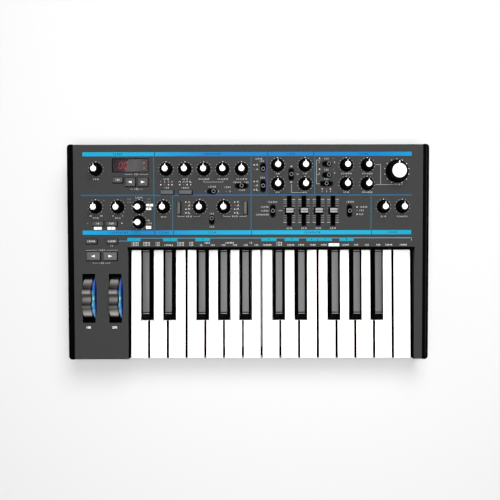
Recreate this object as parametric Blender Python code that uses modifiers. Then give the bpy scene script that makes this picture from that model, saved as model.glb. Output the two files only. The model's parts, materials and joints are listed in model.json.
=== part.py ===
"""Twenty-five-key analogue synthesizer, modelled as the separate pieces it comes apart into.

World frame: +X to the player's right, +Y away from the player, +Z up, in metres. The origin lies
on the table under the middle of the instrument. Everything on the sloping control panel is placed
in panel coordinates (x, v, w): v runs up the slope from the fold line behind the keys, and w
stands square on the panel's painted face.
"""

import math

import bmesh
import bpy
from mathutils import Matrix, Vector

MM = 0.001

# Fits
GAP = 0.3 * MM                    # between pieces that seat on each other
SLIDE_CLEARANCE = 0.5 * MM        # beside a piece that slides or is guided
BITE = 0.5 * MM                   # how far joined shapes run into each other
OVERCUT = 5.0 * MM                # how far a cutter stands past what it cuts
MERGE = 0.001 * MM                # points nearer than this are one

# Keyboard
KEY_PITCH = 23.6 * MM             # white key to white key
WHITE_KEY_COUNT = 15
WHITE_KEY_SLIT = 1.0 * MM         # gap between neighbouring white keys
WHITE_KEY_LENGTH = 138.0 * MM     # front face to the panel's fold line
WHITE_KEY_HEIGHT = 38.5 * MM      # playing surface above the table
KEY_SKIRT = 15.0 * MM             # depth of a key's side walls and front face
KEY_WALL = 1.8 * MM
KEY_ROUNDING = 1.0 * MM           # along the front edge and sides of a white key's top
BLACK_KEY_LENGTH = 89.5 * MM      # front foot to the panel's fold line
BLACK_KEY_RISE = 11.5 * MM        # above the white keys
BLACK_KEY_WIDTH = 12.8 * MM       # at its foot
BLACK_KEY_TOP_WIDTH = 9.2 * MM
BLACK_KEY_NOSE = 9.0 * MM         # run of the sloping front
BLACK_KEY_STEP = 0.2 * MM         # raised part in from the bar below it
BLACK_KEY_CLEARANCE = 0.7 * MM    # to the white keys beside it
KEY_DIP = 9.7 * MM                # travel at the front of a white key
PIVOT_SETBACK = 37.0 * MM         # key pivot behind the fold line
PIVOT_DROP = 10.5 * MM            # key pivot below the playing surface
PIVOT_RADIUS = 1.5 * MM
TAIL_BLOCK = 6.0 * MM             # solid heel of a key, either side of the pivot
# Semitones of an octave that are black keys: each one's shift from the line between its two
# white neighbours, filed under the white key on its left.
BLACK_KEY_SHIFTS = {0: -2.0 * MM, 1: 2.3 * MM, 3: -3.3 * MM, 4: 0.2 * MM, 5: 3.6 * MM}
OCTAVE_WHITES = 7

# Case
CHEEK = 7.0 * MM                  # thickness of the side walls
LEFT_BLOCK = 66.6 * MM            # wheel panel, cheek to key well
RIGHT_STRIP = 9.8 * MM            # key well to the right cheek
WELL_MARGIN = 1.3 * MM            # key well wall to the outer keys
CONTROL_DEPTH = 128.0 * MM        # fold line to the rear edge
PANEL_TILT = math.radians(3.0)
PANEL_THICKNESS = 1.6 * MM
PANEL_INSET = 0.4 * MM            # panel edge back from the front and rear of the case
PANEL_LIP = 3.4 * MM              # fold behind the keys, below the panel's face
LIP_SETBACK = 0.1 * MM            # fold behind the panel's edge
CHEEK_PROUD = 0.6 * MM            # cheeks above the panel
CORNER_RADIUS = 4.0 * MM
FOOT_HEIGHT = 4.0 * MM
FOOT_RADIUS = 8.0 * MM
FOOT_SIDES = 16
FOOT_INSET = 26.0 * MM            # foot centre in from the case's edges
FLOOR = 2.5 * MM
WALL = 3.0 * MM                   # front and rear walls
SLIP_CLEARANCE = 1.3 * MM         # a pressed key above the front wall
WELL_WALL = 2.5 * MM
POST_RADIUS = 4.0 * MM            # bosses and posts that carry the frame and the board
POST_SIDES = 8
FRONT_POST_SETBACK = 22.0 * MM    # front board posts behind the key pivot
REAR_POST_SETBACK = 18.0 * MM     # rear board posts in from the rear edge
JACK_POST_OFFSET = 45.0 * MM      # rear middle post to the left of the first jack

# Keybed frame
FRAME_LIFT = 3.5 * MM             # frame plate above the case floor
FRAME_PLATE = 1.5 * MM
FRAME_FRONT = 11.0 * MM           # frame's front edge behind the case's front face
GUIDE_THICKNESS = 4.0 * MM
GUIDE_REACH = 2.8 * MM            # guide posts up inside a key at rest
GUIDE_RAIL = 3.5 * MM
WHITE_GUIDE = 21.0 * MM           # white key guides behind the front face
BLACK_GUIDE = 15.0 * MM           # black key guides behind the black keys' front feet
RIDGE_WEB = 2.0 * MM

# Controls
KNOB_HEIGHT = 15.0 * MM
KNOB_SKIRT_RADIUS = 7.8 * MM
KNOB_GRIP_RADIUS = 5.8 * MM
KNOB_TOP_RADIUS = 5.3 * MM
KNOB_CAP_RADIUS = 4.2 * MM
KNOB_SKIRT = 2.2 * MM             # height of the flared skirt
KNOB_LIFT = 0.8 * MM              # skirt above the panel
KNOB_EDGE = 1.0 * MM              # fall from the cap to the rim of the top
KNOB_SIDES = 12
CUTOFF_HEIGHT = 15.6 * MM
CUTOFF_SKIRT_RADIUS = 13.8 * MM
CUTOFF_GRIP_RADIUS = 11.8 * MM
CUTOFF_TOP_RADIUS = 11.0 * MM
CUTOFF_CAP_RADIUS = 9.8 * MM
CUTOFF_SIDES = 24
POINTER_WIDTH = 1.2 * MM
POINTER_RISE = 0.5 * MM
POINTER_ROOT = 2.0 * MM           # pointer's foot below the knob's top
SHAFT_RADIUS = 3.0 * MM
SHAFT_CLEARANCE = 0.8 * MM        # shaft to the hole in the panel
SHAFT_HOLE_SIDES = 8
BOARD_DROP = 13.0 * MM            # board's upper face below the panel's face
BOARD_THICKNESS = 1.6 * MM
BOARD_CLEARANCE = 1.6 * MM        # board's underside, at the fold line, above the white keys
POT_BODY = Vector((11.0 * MM, 12.0 * MM, 7.0 * MM))
FADER_BODY = Vector((11.0 * MM, 46.0 * MM, 7.0 * MM))
FADER_CAP_TOP = Vector((9.0 * MM, 5.2 * MM))
FADER_CAP_FOOT = Vector((10.4 * MM, 7.6 * MM))
FADER_CAP_HEIGHT = 9.5 * MM
FADER_GROOVE_RADIUS = 1.0 * MM
FADER_GROOVE_LIFT = 0.4 * MM      # groove's middle line above the cap
FADER_GROOVE_SIDES = 8
FADER_STEM = Vector((3.2 * MM, 4.0 * MM))
FADER_TRAVEL = 28.0 * MM
FADER_SLOT_WIDTH = 5.2 * MM
BUTTON_RISE = 1.2 * MM
SWITCH_STEM_RADIUS = 2.2 * MM
SWITCH_STEM_RISE = 4.5 * MM
SWITCH_STEM_SIDES = 8
SWITCH_SLOT_WIDTH = 6.3 * MM
SWITCH_BODY = Vector((15.0 * MM, 8.0 * MM, 8.0 * MM))
SWITCH_STEP = 4.3 * MM            # stem travel from one position to the next
WHEEL_CLEARANCE = 1.7 * MM        # wheel above the case floor
WHEEL_WIDTH = 11.7 * MM
WHEEL_RISE = 11.7 * MM            # rim above the panel
WHEEL_SIDES = 32
WHEEL_RIM_ROUND = 1.2 * MM
WHEEL_SLOT = Vector((15.8 * MM, 61.0 * MM))
WHEEL_GROOVE_RADIUS = 8.5 * MM
WHEEL_GROOVE_DEPTH = 2.4 * MM
WHEEL_GROOVE_SIDES = 20
WHEEL_RIDGE_RADIUS = 2.4 * MM
WHEEL_RIDGE_RISE = 0.9 * MM
WHEEL_RIDGE_SIDES = 10
WHEEL_RIDGE_ANGLE = math.radians(20.0)
AXLE_RADIUS = 2.5 * MM
AXLE_STUB = 4.6 * MM              # axle past each side of the wheel
CRADLE = 3.0 * MM                 # thickness of the ears that carry a wheel's axle
CRADLE_LENGTH = 14.0 * MM
DISPLAY = Vector((44.0 * MM, 16.0 * MM))
DISPLAY_FLANGE = 2.0 * MM
DISPLAY_FLANGE_THICKNESS = 1.0 * MM

# Panel layout, in panel coordinates: x from the middle of the case, v from the fold line
ROW_UPPER = 102.4 * MM
ROW_OSCILLATOR = 97.6 * MM
ROW_SECOND = 79.4 * MM
ROW_LOWER = 51.2 * MM
OSCILLATOR_X = -101.0 * MM
OSCILLATOR_STEP = 23.25 * MM
MIXER_X = (36.4 * MM, 70.2 * MM)
FILTER_X = (121.0 * MM, 146.8 * MM)
KNOB_PLACES = {
    "volume_knob": (-187.6 * MM, ROW_OSCILLATOR),
    "osc_fine_knob": (OSCILLATOR_X, ROW_OSCILLATOR),
    "osc_coarse_knob": (OSCILLATOR_X + OSCILLATOR_STEP, ROW_OSCILLATOR),
    "osc_envelope_knob": (OSCILLATOR_X + 2 * OSCILLATOR_STEP, ROW_OSCILLATOR),
    "osc_lfo_knob": (OSCILLATOR_X + 3 * OSCILLATOR_STEP, ROW_OSCILLATOR),
    "pulse_width_knob": (OSCILLATOR_X + 4 * OSCILLATOR_STEP, ROW_OSCILLATOR),
    "mix_osc1_knob": (MIXER_X[0], ROW_UPPER),
    "mix_osc2_knob": (MIXER_X[1], ROW_UPPER),
    "mix_sub_knob": (MIXER_X[0], ROW_SECOND),
    "mix_external_knob": (MIXER_X[1], ROW_SECOND),
    "resonance_knob": (FILTER_X[0], ROW_UPPER),
    "filter_envelope_knob": (FILTER_X[1], ROW_UPPER),
    "overdrive_knob": (FILTER_X[0], ROW_SECOND),
    "filter_lfo_knob": (FILTER_X[1], ROW_SECOND),
    "arp_tempo_knob": (-188.4 * MM, ROW_LOWER),
    "arp_rhythm_knob": (-161.0 * MM, ROW_LOWER),
    "arp_mode_knob": (-134.5 * MM, ROW_LOWER),
    "arp_octave_knob": (-134.5 * MM, 32.5 * MM),
    "glide_knob": (-104.6 * MM, ROW_LOWER),
    "lfo1_speed_knob": (-59.8 * MM, ROW_LOWER),
    "lfo2_speed_knob": (-30.0 * MM, ROW_LOWER),
    "distortion_knob": (167.0 * MM, ROW_LOWER),
    "filter_mod_knob": (190.2 * MM, ROW_LOWER),
}
SELECTOR_KNOBS = ("arp_mode_knob", "arp_octave_knob")   # at rest these point to the left
CUTOFF_PLACE = (183.4 * MM, 94.7 * MM)
FADER_X = 50.9 * MM
FADER_STEP = 17.95 * MM
FADER_V = 46.2 * MM
FADER_NAMES = ("attack_fader", "decay_fader", "sustain_fader", "release_fader")
# Slide switches: place, number of positions, position at rest, and whether the slot lies across
SWITCHES = (
    (-44.6 * MM, 70.3 * MM, 2, 1, True),
    (-8.0 * MM, 77.2 * MM, 3, 1, True),
    (97.1 * MM, 103.8 * MM, 2, 1, True),
    (97.1 * MM, 90.1 * MM, 2, 1, True),
    (96.4 * MM, 79.7 * MM, 3, 1, True),
    (18.5 * MM, 99.8 * MM, 2, 0, False),
    (18.5 * MM, 77.1 * MM, 3, 1, False),
    (53.2 * MM, 91.1 * MM, 3, 1, False),
    (-44.9 * MM, 35.0 * MM, 2, 1, False),
    (30.5 * MM, 46.1 * MM, 3, 1, False),
    (125.1 * MM, 46.2 * MM, 3, 1, False),
)
# Push buttons: middle of the window, then its width and depth
ARROW_BUTTON = Vector((13.0 * MM, 11.2 * MM))
BAR_BUTTON = Vector((16.6 * MM, 6.0 * MM))
LABEL_BUTTON = Vector((14.2 * MM, 6.0 * MM))
TALL_BUTTON = Vector((4.6 * MM, 16.0 * MM))
CONTROL_BUTTONS = (
    (-160.8 * MM, 84.6 * MM, Vector((13.0 * MM, 7.2 * MM))),
    (-145.4 * MM, 82.0 * MM, ARROW_BUTTON),
    (-129.9 * MM, 82.0 * MM, ARROW_BUTTON),
    (-100.2 * MM, 69.4 * MM, BAR_BUTTON),
    (-77.4 * MM, 69.4 * MM, BAR_BUTTON),
    (-185.6 * MM, 30.8 * MM, LABEL_BUTTON),
    (-169.0 * MM, 30.8 * MM, LABEL_BUTTON),
    (-85.8 * MM, 50.1 * MM, TALL_BUTTON),
    (-3.6 * MM, 50.0 * MM, TALL_BUTTON),
)
# Controls of the left block, with x counted from the inner face of the left cheek
BLOCK_BUTTON = Vector((17.4 * MM, 10.9 * MM))
BLOCK_BUTTONS = (
    (22.0 * MM, 8.9 * MM, LABEL_BUTTON),
    (47.5 * MM, 8.9 * MM, LABEL_BUTTON),
    (24.4 * MM, -9.4 * MM, BLOCK_BUTTON),
    (45.2 * MM, -9.4 * MM, BLOCK_BUTTON),
)
WHEEL_X = {"pitch_wheel": 18.3 * MM, "mod_wheel": 51.1 * MM}
WHEEL_V = -61.9 * MM
DISPLAY_PLACE = (-145.2 * MM, 102.4 * MM)
CONTROL_BOARD_FRONT = 16.0 * MM
BOARD_REAR_MARGIN = 10.0 * MM     # board in from the rear edge
BOARD_TONGUE_FRONT = -18.0 * MM
BOARD_EDGE = 8.0 * MM             # board in from the cheeks and the key well
# Rear sockets: x of each from the middle of the case, and its radius or half sides
JACK_RADIUS = 3.3 * MM
JACK_NOSE_RADIUS = 4.6 * MM
DIN_RADIUS = 7.0 * MM
DIN_NOSE_RADIUS = 8.6 * MM
POWER_RADIUS = 3.1 * MM
POWER_NOSE_RADIUS = 4.6 * MM
USB_SIDES = Vector((8.6 * MM, 8.0 * MM))
USB_NOSE_SIDES = Vector((12.0 * MM, 11.2 * MM))
JACK_X = (-28.0 * MM, 0.0 * MM, 28.0 * MM, 55.0 * MM)
DIN_X = (92.0 * MM, 122.0 * MM)
USB_X = 152.0 * MM
POWER_X = 178.0 * MM
SOCKET_HEIGHT = 29.0 * MM
SOCKET_DEPTH = 16.0 * MM          # how far a plug goes in
SOCKET_BLOCK = Vector((19.0 * MM, 20.0 * MM))
SOCKET_BACK = 3.0 * MM
SOCKET_SIDES = 12
JACK_BOARD_MARGIN = 12.0 * MM

# Sizes that follow from the ones above
WELL_WIDTH = WHITE_KEY_COUNT * KEY_PITCH - WHITE_KEY_SLIT + 2 * WELL_MARGIN
WIDTH = 2 * CHEEK + LEFT_BLOCK + WELL_WIDTH + RIGHT_STRIP
DEPTH = WHITE_KEY_LENGTH + CONTROL_DEPTH
FRONT = -DEPTH / 2
REAR = DEPTH / 2
FOLD = FRONT + WHITE_KEY_LENGTH
PANEL_LEFT = -WIDTH / 2 + CHEEK
PANEL_RIGHT = WIDTH / 2 - CHEEK
WELL_LEFT = PANEL_LEFT + LEFT_BLOCK
WELL_RIGHT = PANEL_RIGHT - RIGHT_STRIP
FIRST_KEY = WELL_LEFT + WELL_MARGIN - WHITE_KEY_SLIT / 2
WHITE_KEY_WIDTH = KEY_PITCH - WHITE_KEY_SLIT
BLACK_SLOT = BLACK_KEY_WIDTH + 2 * BLACK_KEY_CLEARANCE
PIVOT = FOLD + PIVOT_SETBACK
KEY_REAR = PIVOT + TAIL_BLOCK
KEY_BOTTOM = WHITE_KEY_HEIGHT - KEY_SKIRT
PIVOT_HEIGHT = WHITE_KEY_HEIGHT - PIVOT_DROP
BLACK_KEY_FRONT = FOLD - BLACK_KEY_LENGTH
FLOOR_TOP = FOOT_HEIGHT + FLOOR
FRAME_BOTTOM = FLOOR_TOP + FRAME_LIFT
SLIP_HEIGHT = KEY_BOTTOM - KEY_DIP - SLIP_CLEARANCE    # front wall under the keys
BOARD_UNDERSIDE = BOARD_DROP + BOARD_THICKNESS
FOLD_HEIGHT = WHITE_KEY_HEIGHT + BOARD_CLEARANCE + BOARD_UNDERSIDE    # panel above the table
CONTROL_BOARD_REAR = CONTROL_DEPTH - BOARD_REAR_MARGIN
POT_TOP = -BOARD_DROP + POT_BODY.z
SHAFT_END = POT_TOP + GAP
WHEEL_ROOM = FOLD_HEIGHT + WHEEL_V * math.sin(PANEL_TILT) - FLOOR_TOP    # panel above the floor
WHEEL_RADIUS = (WHEEL_ROOM + WHEEL_RISE - WHEEL_CLEARANCE) / 2
WHEEL_AXLE_DROP = WHEEL_RADIUS - WHEEL_RISE

# Finishes: name, linear colour, roughness, metallic
FINISHES = {
    "panel_paint": ((0.075, 0.075, 0.078), 0.55, 0.0),
    "case_black": ((0.008, 0.008, 0.009), 0.5, 0.0),
    "white_key": ((0.86, 0.86, 0.84), 0.25, 0.0),
    "black_key": ((0.05, 0.05, 0.052), 0.4, 0.0),
    "knob_black": ((0.006, 0.006, 0.006), 0.45, 0.0),
    "fader_silver": ((0.55, 0.55, 0.53), 0.35, 0.0),
    "wheel_rubber": ((0.13, 0.13, 0.13), 0.6, 0.0),
    "frame_steel": ((0.42, 0.43, 0.44), 0.35, 1.0),
    "circuit_board": ((0.02, 0.09, 0.05), 0.5, 0.0),
    "display_lens": ((0.06, 0.012, 0.015), 0.1, 0.0),
}


# Building blocks

def collection(name):
    """A new collection in the scene."""
    made = bpy.data.collections.new(name)
    bpy.context.scene.collection.children.link(made)
    return made


def finish(name):
    """The Principled material of this name, made once."""
    if name in bpy.data.materials:
        return bpy.data.materials[name]
    colour, roughness, metallic = FINISHES[name]
    material = bpy.data.materials.new(name)
    material.use_nodes = True
    shader = material.node_tree.nodes["Principled BSDF"]
    shader.inputs["Base Color"].default_value = (*colour, 1.0)
    shader.inputs["Roughness"].default_value = roughness
    shader.inputs["Metallic"].default_value = metallic
    material.diffuse_color = (*colour, 1.0)
    return material


def add_object(name, data, group, parent=None, place=(0, 0, 0)):
    """A linked object holding data, at a place in its parent's frame."""
    made = bpy.data.objects.new(name, data)
    made.parent = parent
    made.location = place
    group.objects.link(made)
    return made


def helper(made):
    """Marks an object as a cutter or a shape to be joined, which is no piece by itself."""
    made.hide_render = True
    made.display_type = "WIRE"
    return made


def box(name, low, high, group, parent=None):
    """An upright block between two opposite corners."""
    low, high = Vector(low), Vector(high)
    shape = bmesh.new()
    bmesh.ops.create_cube(shape, size=1.0)
    bmesh.ops.scale(shape, vec=high - low, verts=shape.verts)
    bmesh.ops.translate(shape, vec=(low + high) / 2, verts=shape.verts)
    mesh = bpy.data.meshes.new(name)
    shape.to_mesh(mesh)
    shape.free()
    return add_object(name, mesh, group, parent)


def tapered(name, foot, low, top, high, group):
    """A block whose foot and top are unlike rectangles, given as left, front, right and rear."""
    shape = bmesh.new()
    bmesh.ops.create_cube(shape, size=1.0)
    for vert in shape.verts:
        left, front, right, rear = top if vert.co.z > 0 else foot
        vert.co = (right if vert.co.x > 0 else left, rear if vert.co.y > 0 else front,
                   high if vert.co.z > 0 else low)
    mesh = bpy.data.meshes.new(name)
    shape.to_mesh(mesh)
    shape.free()
    return add_object(name, mesh, group)


def rod(name, radius, low, high, sides, group, parent=None, place=(0, 0, 0), turn=None):
    """A round bar from low to high along its own Z, turned and then placed."""
    shape = bmesh.new()
    bmesh.ops.create_cone(shape, cap_ends=True, segments=sides, radius1=radius,
                          radius2=radius, depth=high - low)
    bmesh.ops.translate(shape, vec=(0, 0, (low + high) / 2), verts=shape.verts)
    mesh = bpy.data.meshes.new(name)
    shape.to_mesh(mesh)
    shape.free()
    if turn is not None:
        mesh.transform(turn)
    return add_object(name, mesh, group, parent, place)


ALONG_X = Matrix(((0, 0, 1), (1, 0, 0), (0, 1, 0))).to_4x4()       # outline (y, z), pulled along X
ALONG_Y = Matrix(((1, 0, 0), (0, 0, -1), (0, 1, 0))).to_4x4()      # outline (x, z), pulled along Y


def plate(name, loops, low, high, group, parent=None, turn=None):
    """Flat outlines, each a closed loop, pulled from low to high along their own Z."""
    curve = bpy.data.curves.new(name + "_outline", "CURVE")
    curve.dimensions = "2D"
    curve.fill_mode = "BOTH"
    curve.extrude = (high - low) / 2
    for loop in loops:
        spline = curve.splines.new("POLY")
        spline.points.add(len(loop) - 1)
        for point, (x, y) in zip(spline.points, loop):
            point.co = (x, y, 0, 1)
        spline.use_cyclic_u = True
    guide = add_object(name + "_outline", curve, group)
    bpy.context.view_layer.update()
    graph = bpy.context.evaluated_depsgraph_get()
    mesh = bpy.data.meshes.new_from_object(guide.evaluated_get(graph))
    bpy.data.objects.remove(guide)
    bpy.data.curves.remove(curve)
    mesh.name = name
    shape = bmesh.new()
    shape.from_mesh(mesh)
    bmesh.ops.remove_doubles(shape, verts=shape.verts, dist=MERGE)
    bmesh.ops.translate(shape, vec=(0, 0, (low + high) / 2), verts=shape.verts)
    if len(loops) == 1:
        bmesh.ops.dissolve_limit(shape, angle_limit=math.radians(0.1), verts=shape.verts,
                                 edges=shape.edges)
    bmesh.ops.recalc_face_normals(shape, faces=shape.faces)
    shape.to_mesh(mesh)
    shape.free()
    if turn is not None:
        mesh.transform(turn)
    return add_object(name, mesh, group, parent)


def boolean(target, operation, other):
    """Adds a Boolean modifier with one object, or with every object of a collection."""
    modifier = target.modifiers.new(operation.lower(), "BOOLEAN")
    modifier.operation = operation
    modifier.solver = "EXACT"
    if isinstance(other, bpy.types.Collection):
        modifier.operand_type = "COLLECTION"
        modifier.collection = other
    else:
        modifier.object = other


def baked(source):
    """The evaluated mesh of an object with modifiers, in the object's own frame."""
    bpy.context.view_layer.update()
    graph = bpy.context.evaluated_depsgraph_get()
    return bpy.data.meshes.new_from_object(source.evaluated_get(graph))


def turned(name, profile, sides, group, parent=None):
    """A profile of (radius, height) points, listed from top to bottom, spun about Z."""
    shape = bmesh.new()
    points = [shape.verts.new((radius, 0, height)) for radius, height in profile]
    for upper, lower in zip(points, points[1:]):
        shape.edges.new((upper, lower))
    mesh = bpy.data.meshes.new(name)
    shape.to_mesh(mesh)
    shape.free()
    made = add_object(name, mesh, group, parent)
    screw = made.modifiers.new("turn", "SCREW")
    screw.steps = sides
    screw.render_steps = sides
    screw.use_merge_vertices = True
    screw.merge_threshold = MERGE
    return made


def piece(made, material):
    """Gives a finished sub-part its material and smooth shading with crisp edges."""
    made.data.materials.clear()
    made.data.materials.append(finish(material))
    made.data.shade_smooth()
    made.data.set_sharp_from_angle(angle=math.radians(35))
    return made


def circle(x, y, radius, sides):
    """Points of a circle, as an outline loop."""
    angles = [2 * math.pi * step / sides for step in range(sides)]
    return [(x + radius * math.cos(a), y + radius * math.sin(a)) for a in angles]


def rectangle(x, y, width, depth):
    """Points of a rectangle about its middle, as an outline loop."""
    half, deep = width / 2, depth / 2
    return [(x - half, y - deep), (x + half, y - deep), (x + half, y + deep), (x - half, y + deep)]


def slot(x, y, length, width, across, steps=5):
    """Points of a round-ended slot, as an outline loop."""
    radius, reach = width / 2, (length - width) / 2
    loop = []
    for end in (1, -1):
        for step in range(steps):
            angle = math.pi * step / (steps - 1) + (0 if end > 0 else math.pi)
            loop.append((radius * math.cos(angle), end * reach + radius * math.sin(angle)))
    if across:
        loop = [(b, -a) for a, b in loop]
    return [(x + a, y + b) for a, b in loop]


def panel_height(y, w=0.0):
    """World height, at this y, of the plane that lies w above the panel's face."""
    return FOLD_HEIGHT + (y - FOLD) * math.tan(PANEL_TILT) + w / math.cos(PANEL_TILT)


def panel_v(y):
    """Distance up the slope from the fold line to the panel point at this y."""
    return (y - FOLD) / math.cos(PANEL_TILT)


# Keys

def white_key_edges(index):
    """Left and right edge of a white key, and of the neck between its black neighbours."""
    left = FIRST_KEY + index * KEY_PITCH + WHITE_KEY_SLIT / 2
    right = left + WHITE_KEY_WIDTH
    neck_left, neck_right = left, right
    degree = index % OCTAVE_WHITES
    line = FIRST_KEY + index * KEY_PITCH
    if index > 0 and degree - 1 in BLACK_KEY_SHIFTS:
        neck_left = line + BLACK_KEY_SHIFTS[degree - 1] + BLACK_SLOT / 2
    if index < WHITE_KEY_COUNT - 1 and degree in BLACK_KEY_SHIFTS:
        neck_right = line + KEY_PITCH + BLACK_KEY_SHIFTS[degree] - BLACK_SLOT / 2
    return left, right, neck_left, neck_right


def black_key_middles():
    """Middle of every black key, from left to right."""
    return [
        FIRST_KEY + (index + 1) * KEY_PITCH + BLACK_KEY_SHIFTS[index % OCTAVE_WHITES]
        for index in range(WHITE_KEY_COUNT - 1)
        if index % OCTAVE_WHITES in BLACK_KEY_SHIFTS
    ]


def key_outline(left, right, neck_left, neck_right, inset=0.0, rear=KEY_REAR):
    """Plan of a white key: a full-width head, then a neck that runs back to the pivot."""
    head_rear = BLACK_KEY_FRONT - BLACK_KEY_CLEARANCE - inset
    front = FRONT + inset
    loop = [(left + inset, front), (right - inset, front)]
    if neck_right < right:
        loop += [(right - inset, head_rear), (neck_right - inset, head_rear)]
    loop += [(neck_right - inset, rear), (neck_left + inset, rear)]
    if neck_left > left:
        loop += [(neck_left + inset, head_rear), (left + inset, head_rear)]
    return loop


def cut_heel(key, left, right, cutters):
    """Notches a key's heel from below, so that it sits astride the pivot ridge."""
    half = PIVOT_RADIUS + GAP
    notch = box(key.name + "_notch", (left - OVERCUT, PIVOT - half, KEY_BOTTOM - OVERCUT),
                (right + OVERCUT, PIVOT + half, PIVOT_HEIGHT + PIVOT_RADIUS + GAP), cutters)
    boolean(key, "DIFFERENCE", helper(notch))


def round_key_top(key):
    """Eases the front and side edges of a white key's playing surface."""
    shape = bmesh.new()
    shape.from_mesh(key.data)
    edges = [
        edge for edge in shape.edges
        if all(abs(vert.co.z - WHITE_KEY_HEIGHT) < MERGE for vert in edge.verts)
        and edge.is_manifold and edge.calc_face_angle() > 1.0
        and min(vert.co.y for vert in edge.verts) < FOLD
    ]
    bmesh.ops.bevel(shape, geom=edges, offset=KEY_ROUNDING, segments=1, affect="EDGES")
    shape.to_mesh(key.data)
    shape.free()


def pivoted(key, x):
    """Moves a key's origin onto its pivot, leaving the key where it is."""
    place = Vector((x, PIVOT, PIVOT_HEIGHT))
    key.data.transform(Matrix.Translation(-place))
    key.location = place
    return key


def make_white_key(index, parts, cutters):
    """One white key: a hollow moulding, open below, with a solid heel over the pivot."""
    name = f"white_key_{index + 1:02d}"
    left, right, neck_left, neck_right = white_key_edges(index)
    blank = plate(name + "_blank", [key_outline(left, right, neck_left, neck_right)],
                  KEY_BOTTOM, WHITE_KEY_HEIGHT, cutters)
    round_key_top(blank)
    hollow_rear = PIVOT - TAIL_BLOCK
    hollow = key_outline(left, right, neck_left, neck_right, KEY_WALL, hollow_rear)
    pocket = plate(name + "_pocket", [hollow], KEY_BOTTOM - OVERCUT,
                   WHITE_KEY_HEIGHT - KEY_WALL, cutters)
    boolean(helper(blank), "DIFFERENCE", helper(pocket))
    cut_heel(blank, left, right, cutters)
    key = add_object(name, baked(blank), parts)
    return piece(pivoted(key, (neck_left + neck_right) / 2), "white_key")


def make_black_key(number, middle, parts, cutters):
    """One black key: a hollow bar on its pivot, with a tapered playing part on top."""
    name = f"black_key_{number:02d}"
    half, slim = BLACK_KEY_WIDTH / 2, BLACK_KEY_TOP_WIDTH / 2
    step = BLACK_KEY_STEP
    rear = FOLD - PANEL_THICKNESS
    blank = box(name + "_blank", (middle - half, BLACK_KEY_FRONT, KEY_BOTTOM),
                (middle + half, KEY_REAR, WHITE_KEY_HEIGHT), cutters)
    raised = tapered(name + "_raised",
                     (middle - half + step, BLACK_KEY_FRONT + step, middle + half - step, rear),
                     WHITE_KEY_HEIGHT - BITE,
                     (middle - slim, BLACK_KEY_FRONT + BLACK_KEY_NOSE, middle + slim, rear),
                     WHITE_KEY_HEIGHT + BLACK_KEY_RISE, cutters)
    pocket = box(name + "_pocket",
                 (middle - half + KEY_WALL, BLACK_KEY_FRONT + KEY_WALL, KEY_BOTTOM - OVERCUT),
                 (middle + half - KEY_WALL, PIVOT - TAIL_BLOCK, WHITE_KEY_HEIGHT - KEY_WALL), cutters)
    boolean(helper(blank), "UNION", helper(raised))
    boolean(blank, "DIFFERENCE", helper(pocket))
    cut_heel(blank, middle - half, middle + half, cutters)
    key = add_object(name, baked(blank), parts)
    return piece(pivoted(key, middle), "black_key")


# Keybed frame

def guide_comb(name, slots, y, cutters):
    """A rail along X with one upright guide post inside every key of one colour."""
    low = FRAME_BOTTOM + BITE
    rail = FRAME_BOTTOM + GUIDE_RAIL
    top = KEY_BOTTOM + GUIDE_REACH
    loop = [(WELL_RIGHT - WELL_MARGIN, low), (WELL_RIGHT - WELL_MARGIN, rail)]
    for left, right in reversed(slots):
        loop += [(right, rail), (right, top), (left, top), (left, rail)]
    loop += [(WELL_LEFT + WELL_MARGIN, rail), (WELL_LEFT + WELL_MARGIN, low)]
    comb = plate(name, [loop], -y - GUIDE_THICKNESS / 2, -y + GUIDE_THICKNESS / 2, cutters,
                 turn=ALONG_Y)
    return helper(comb)


def make_keybed_frame(parts, cutters):
    """Pressed frame under the keys: a flat pan, the pivot ridge and two rows of key guides."""
    top = FRAME_BOTTOM + FRAME_PLATE
    web = RIDGE_WEB / 2
    head = [
        (PIVOT + PIVOT_RADIUS * math.cos(a), PIVOT_HEIGHT + PIVOT_RADIUS * math.sin(a))
        for a in [math.pi * (step - 1) / 6 for step in range(9)]
    ]
    section = [(FRONT + FRAME_FRONT, FRAME_BOTTOM), (KEY_REAR, FRAME_BOTTOM), (KEY_REAR, top),
               (PIVOT + web, top), (PIVOT + web, PIVOT_HEIGHT - PIVOT_RADIUS), *head,
               (PIVOT - web, PIVOT_HEIGHT - PIVOT_RADIUS), (PIVOT - web, top),
               (FRONT + FRAME_FRONT, top)]
    frame = plate("keybed_frame", [section], WELL_LEFT + WELL_MARGIN / 2,
                  WELL_RIGHT - WELL_MARGIN / 2, parts, turn=ALONG_X)
    room = KEY_WALL + SLIDE_CLEARANCE
    white_slots = [white_key_edges(index)[:2] for index in range(WHITE_KEY_COUNT)]
    white_slots = [(left + room, right - room) for left, right in white_slots]
    reach = BLACK_KEY_WIDTH / 2 - room
    black_slots = [(middle - reach, middle + reach) for middle in black_key_middles()]
    boolean(frame, "UNION", guide_comb("white_guides", white_slots, FRONT + WHITE_GUIDE, cutters))
    boolean(frame, "UNION",
            guide_comb("black_guides", black_slots, BLACK_KEY_FRONT + BLACK_GUIDE, cutters))
    return piece(frame, "frame_steel")


# Case

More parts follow.
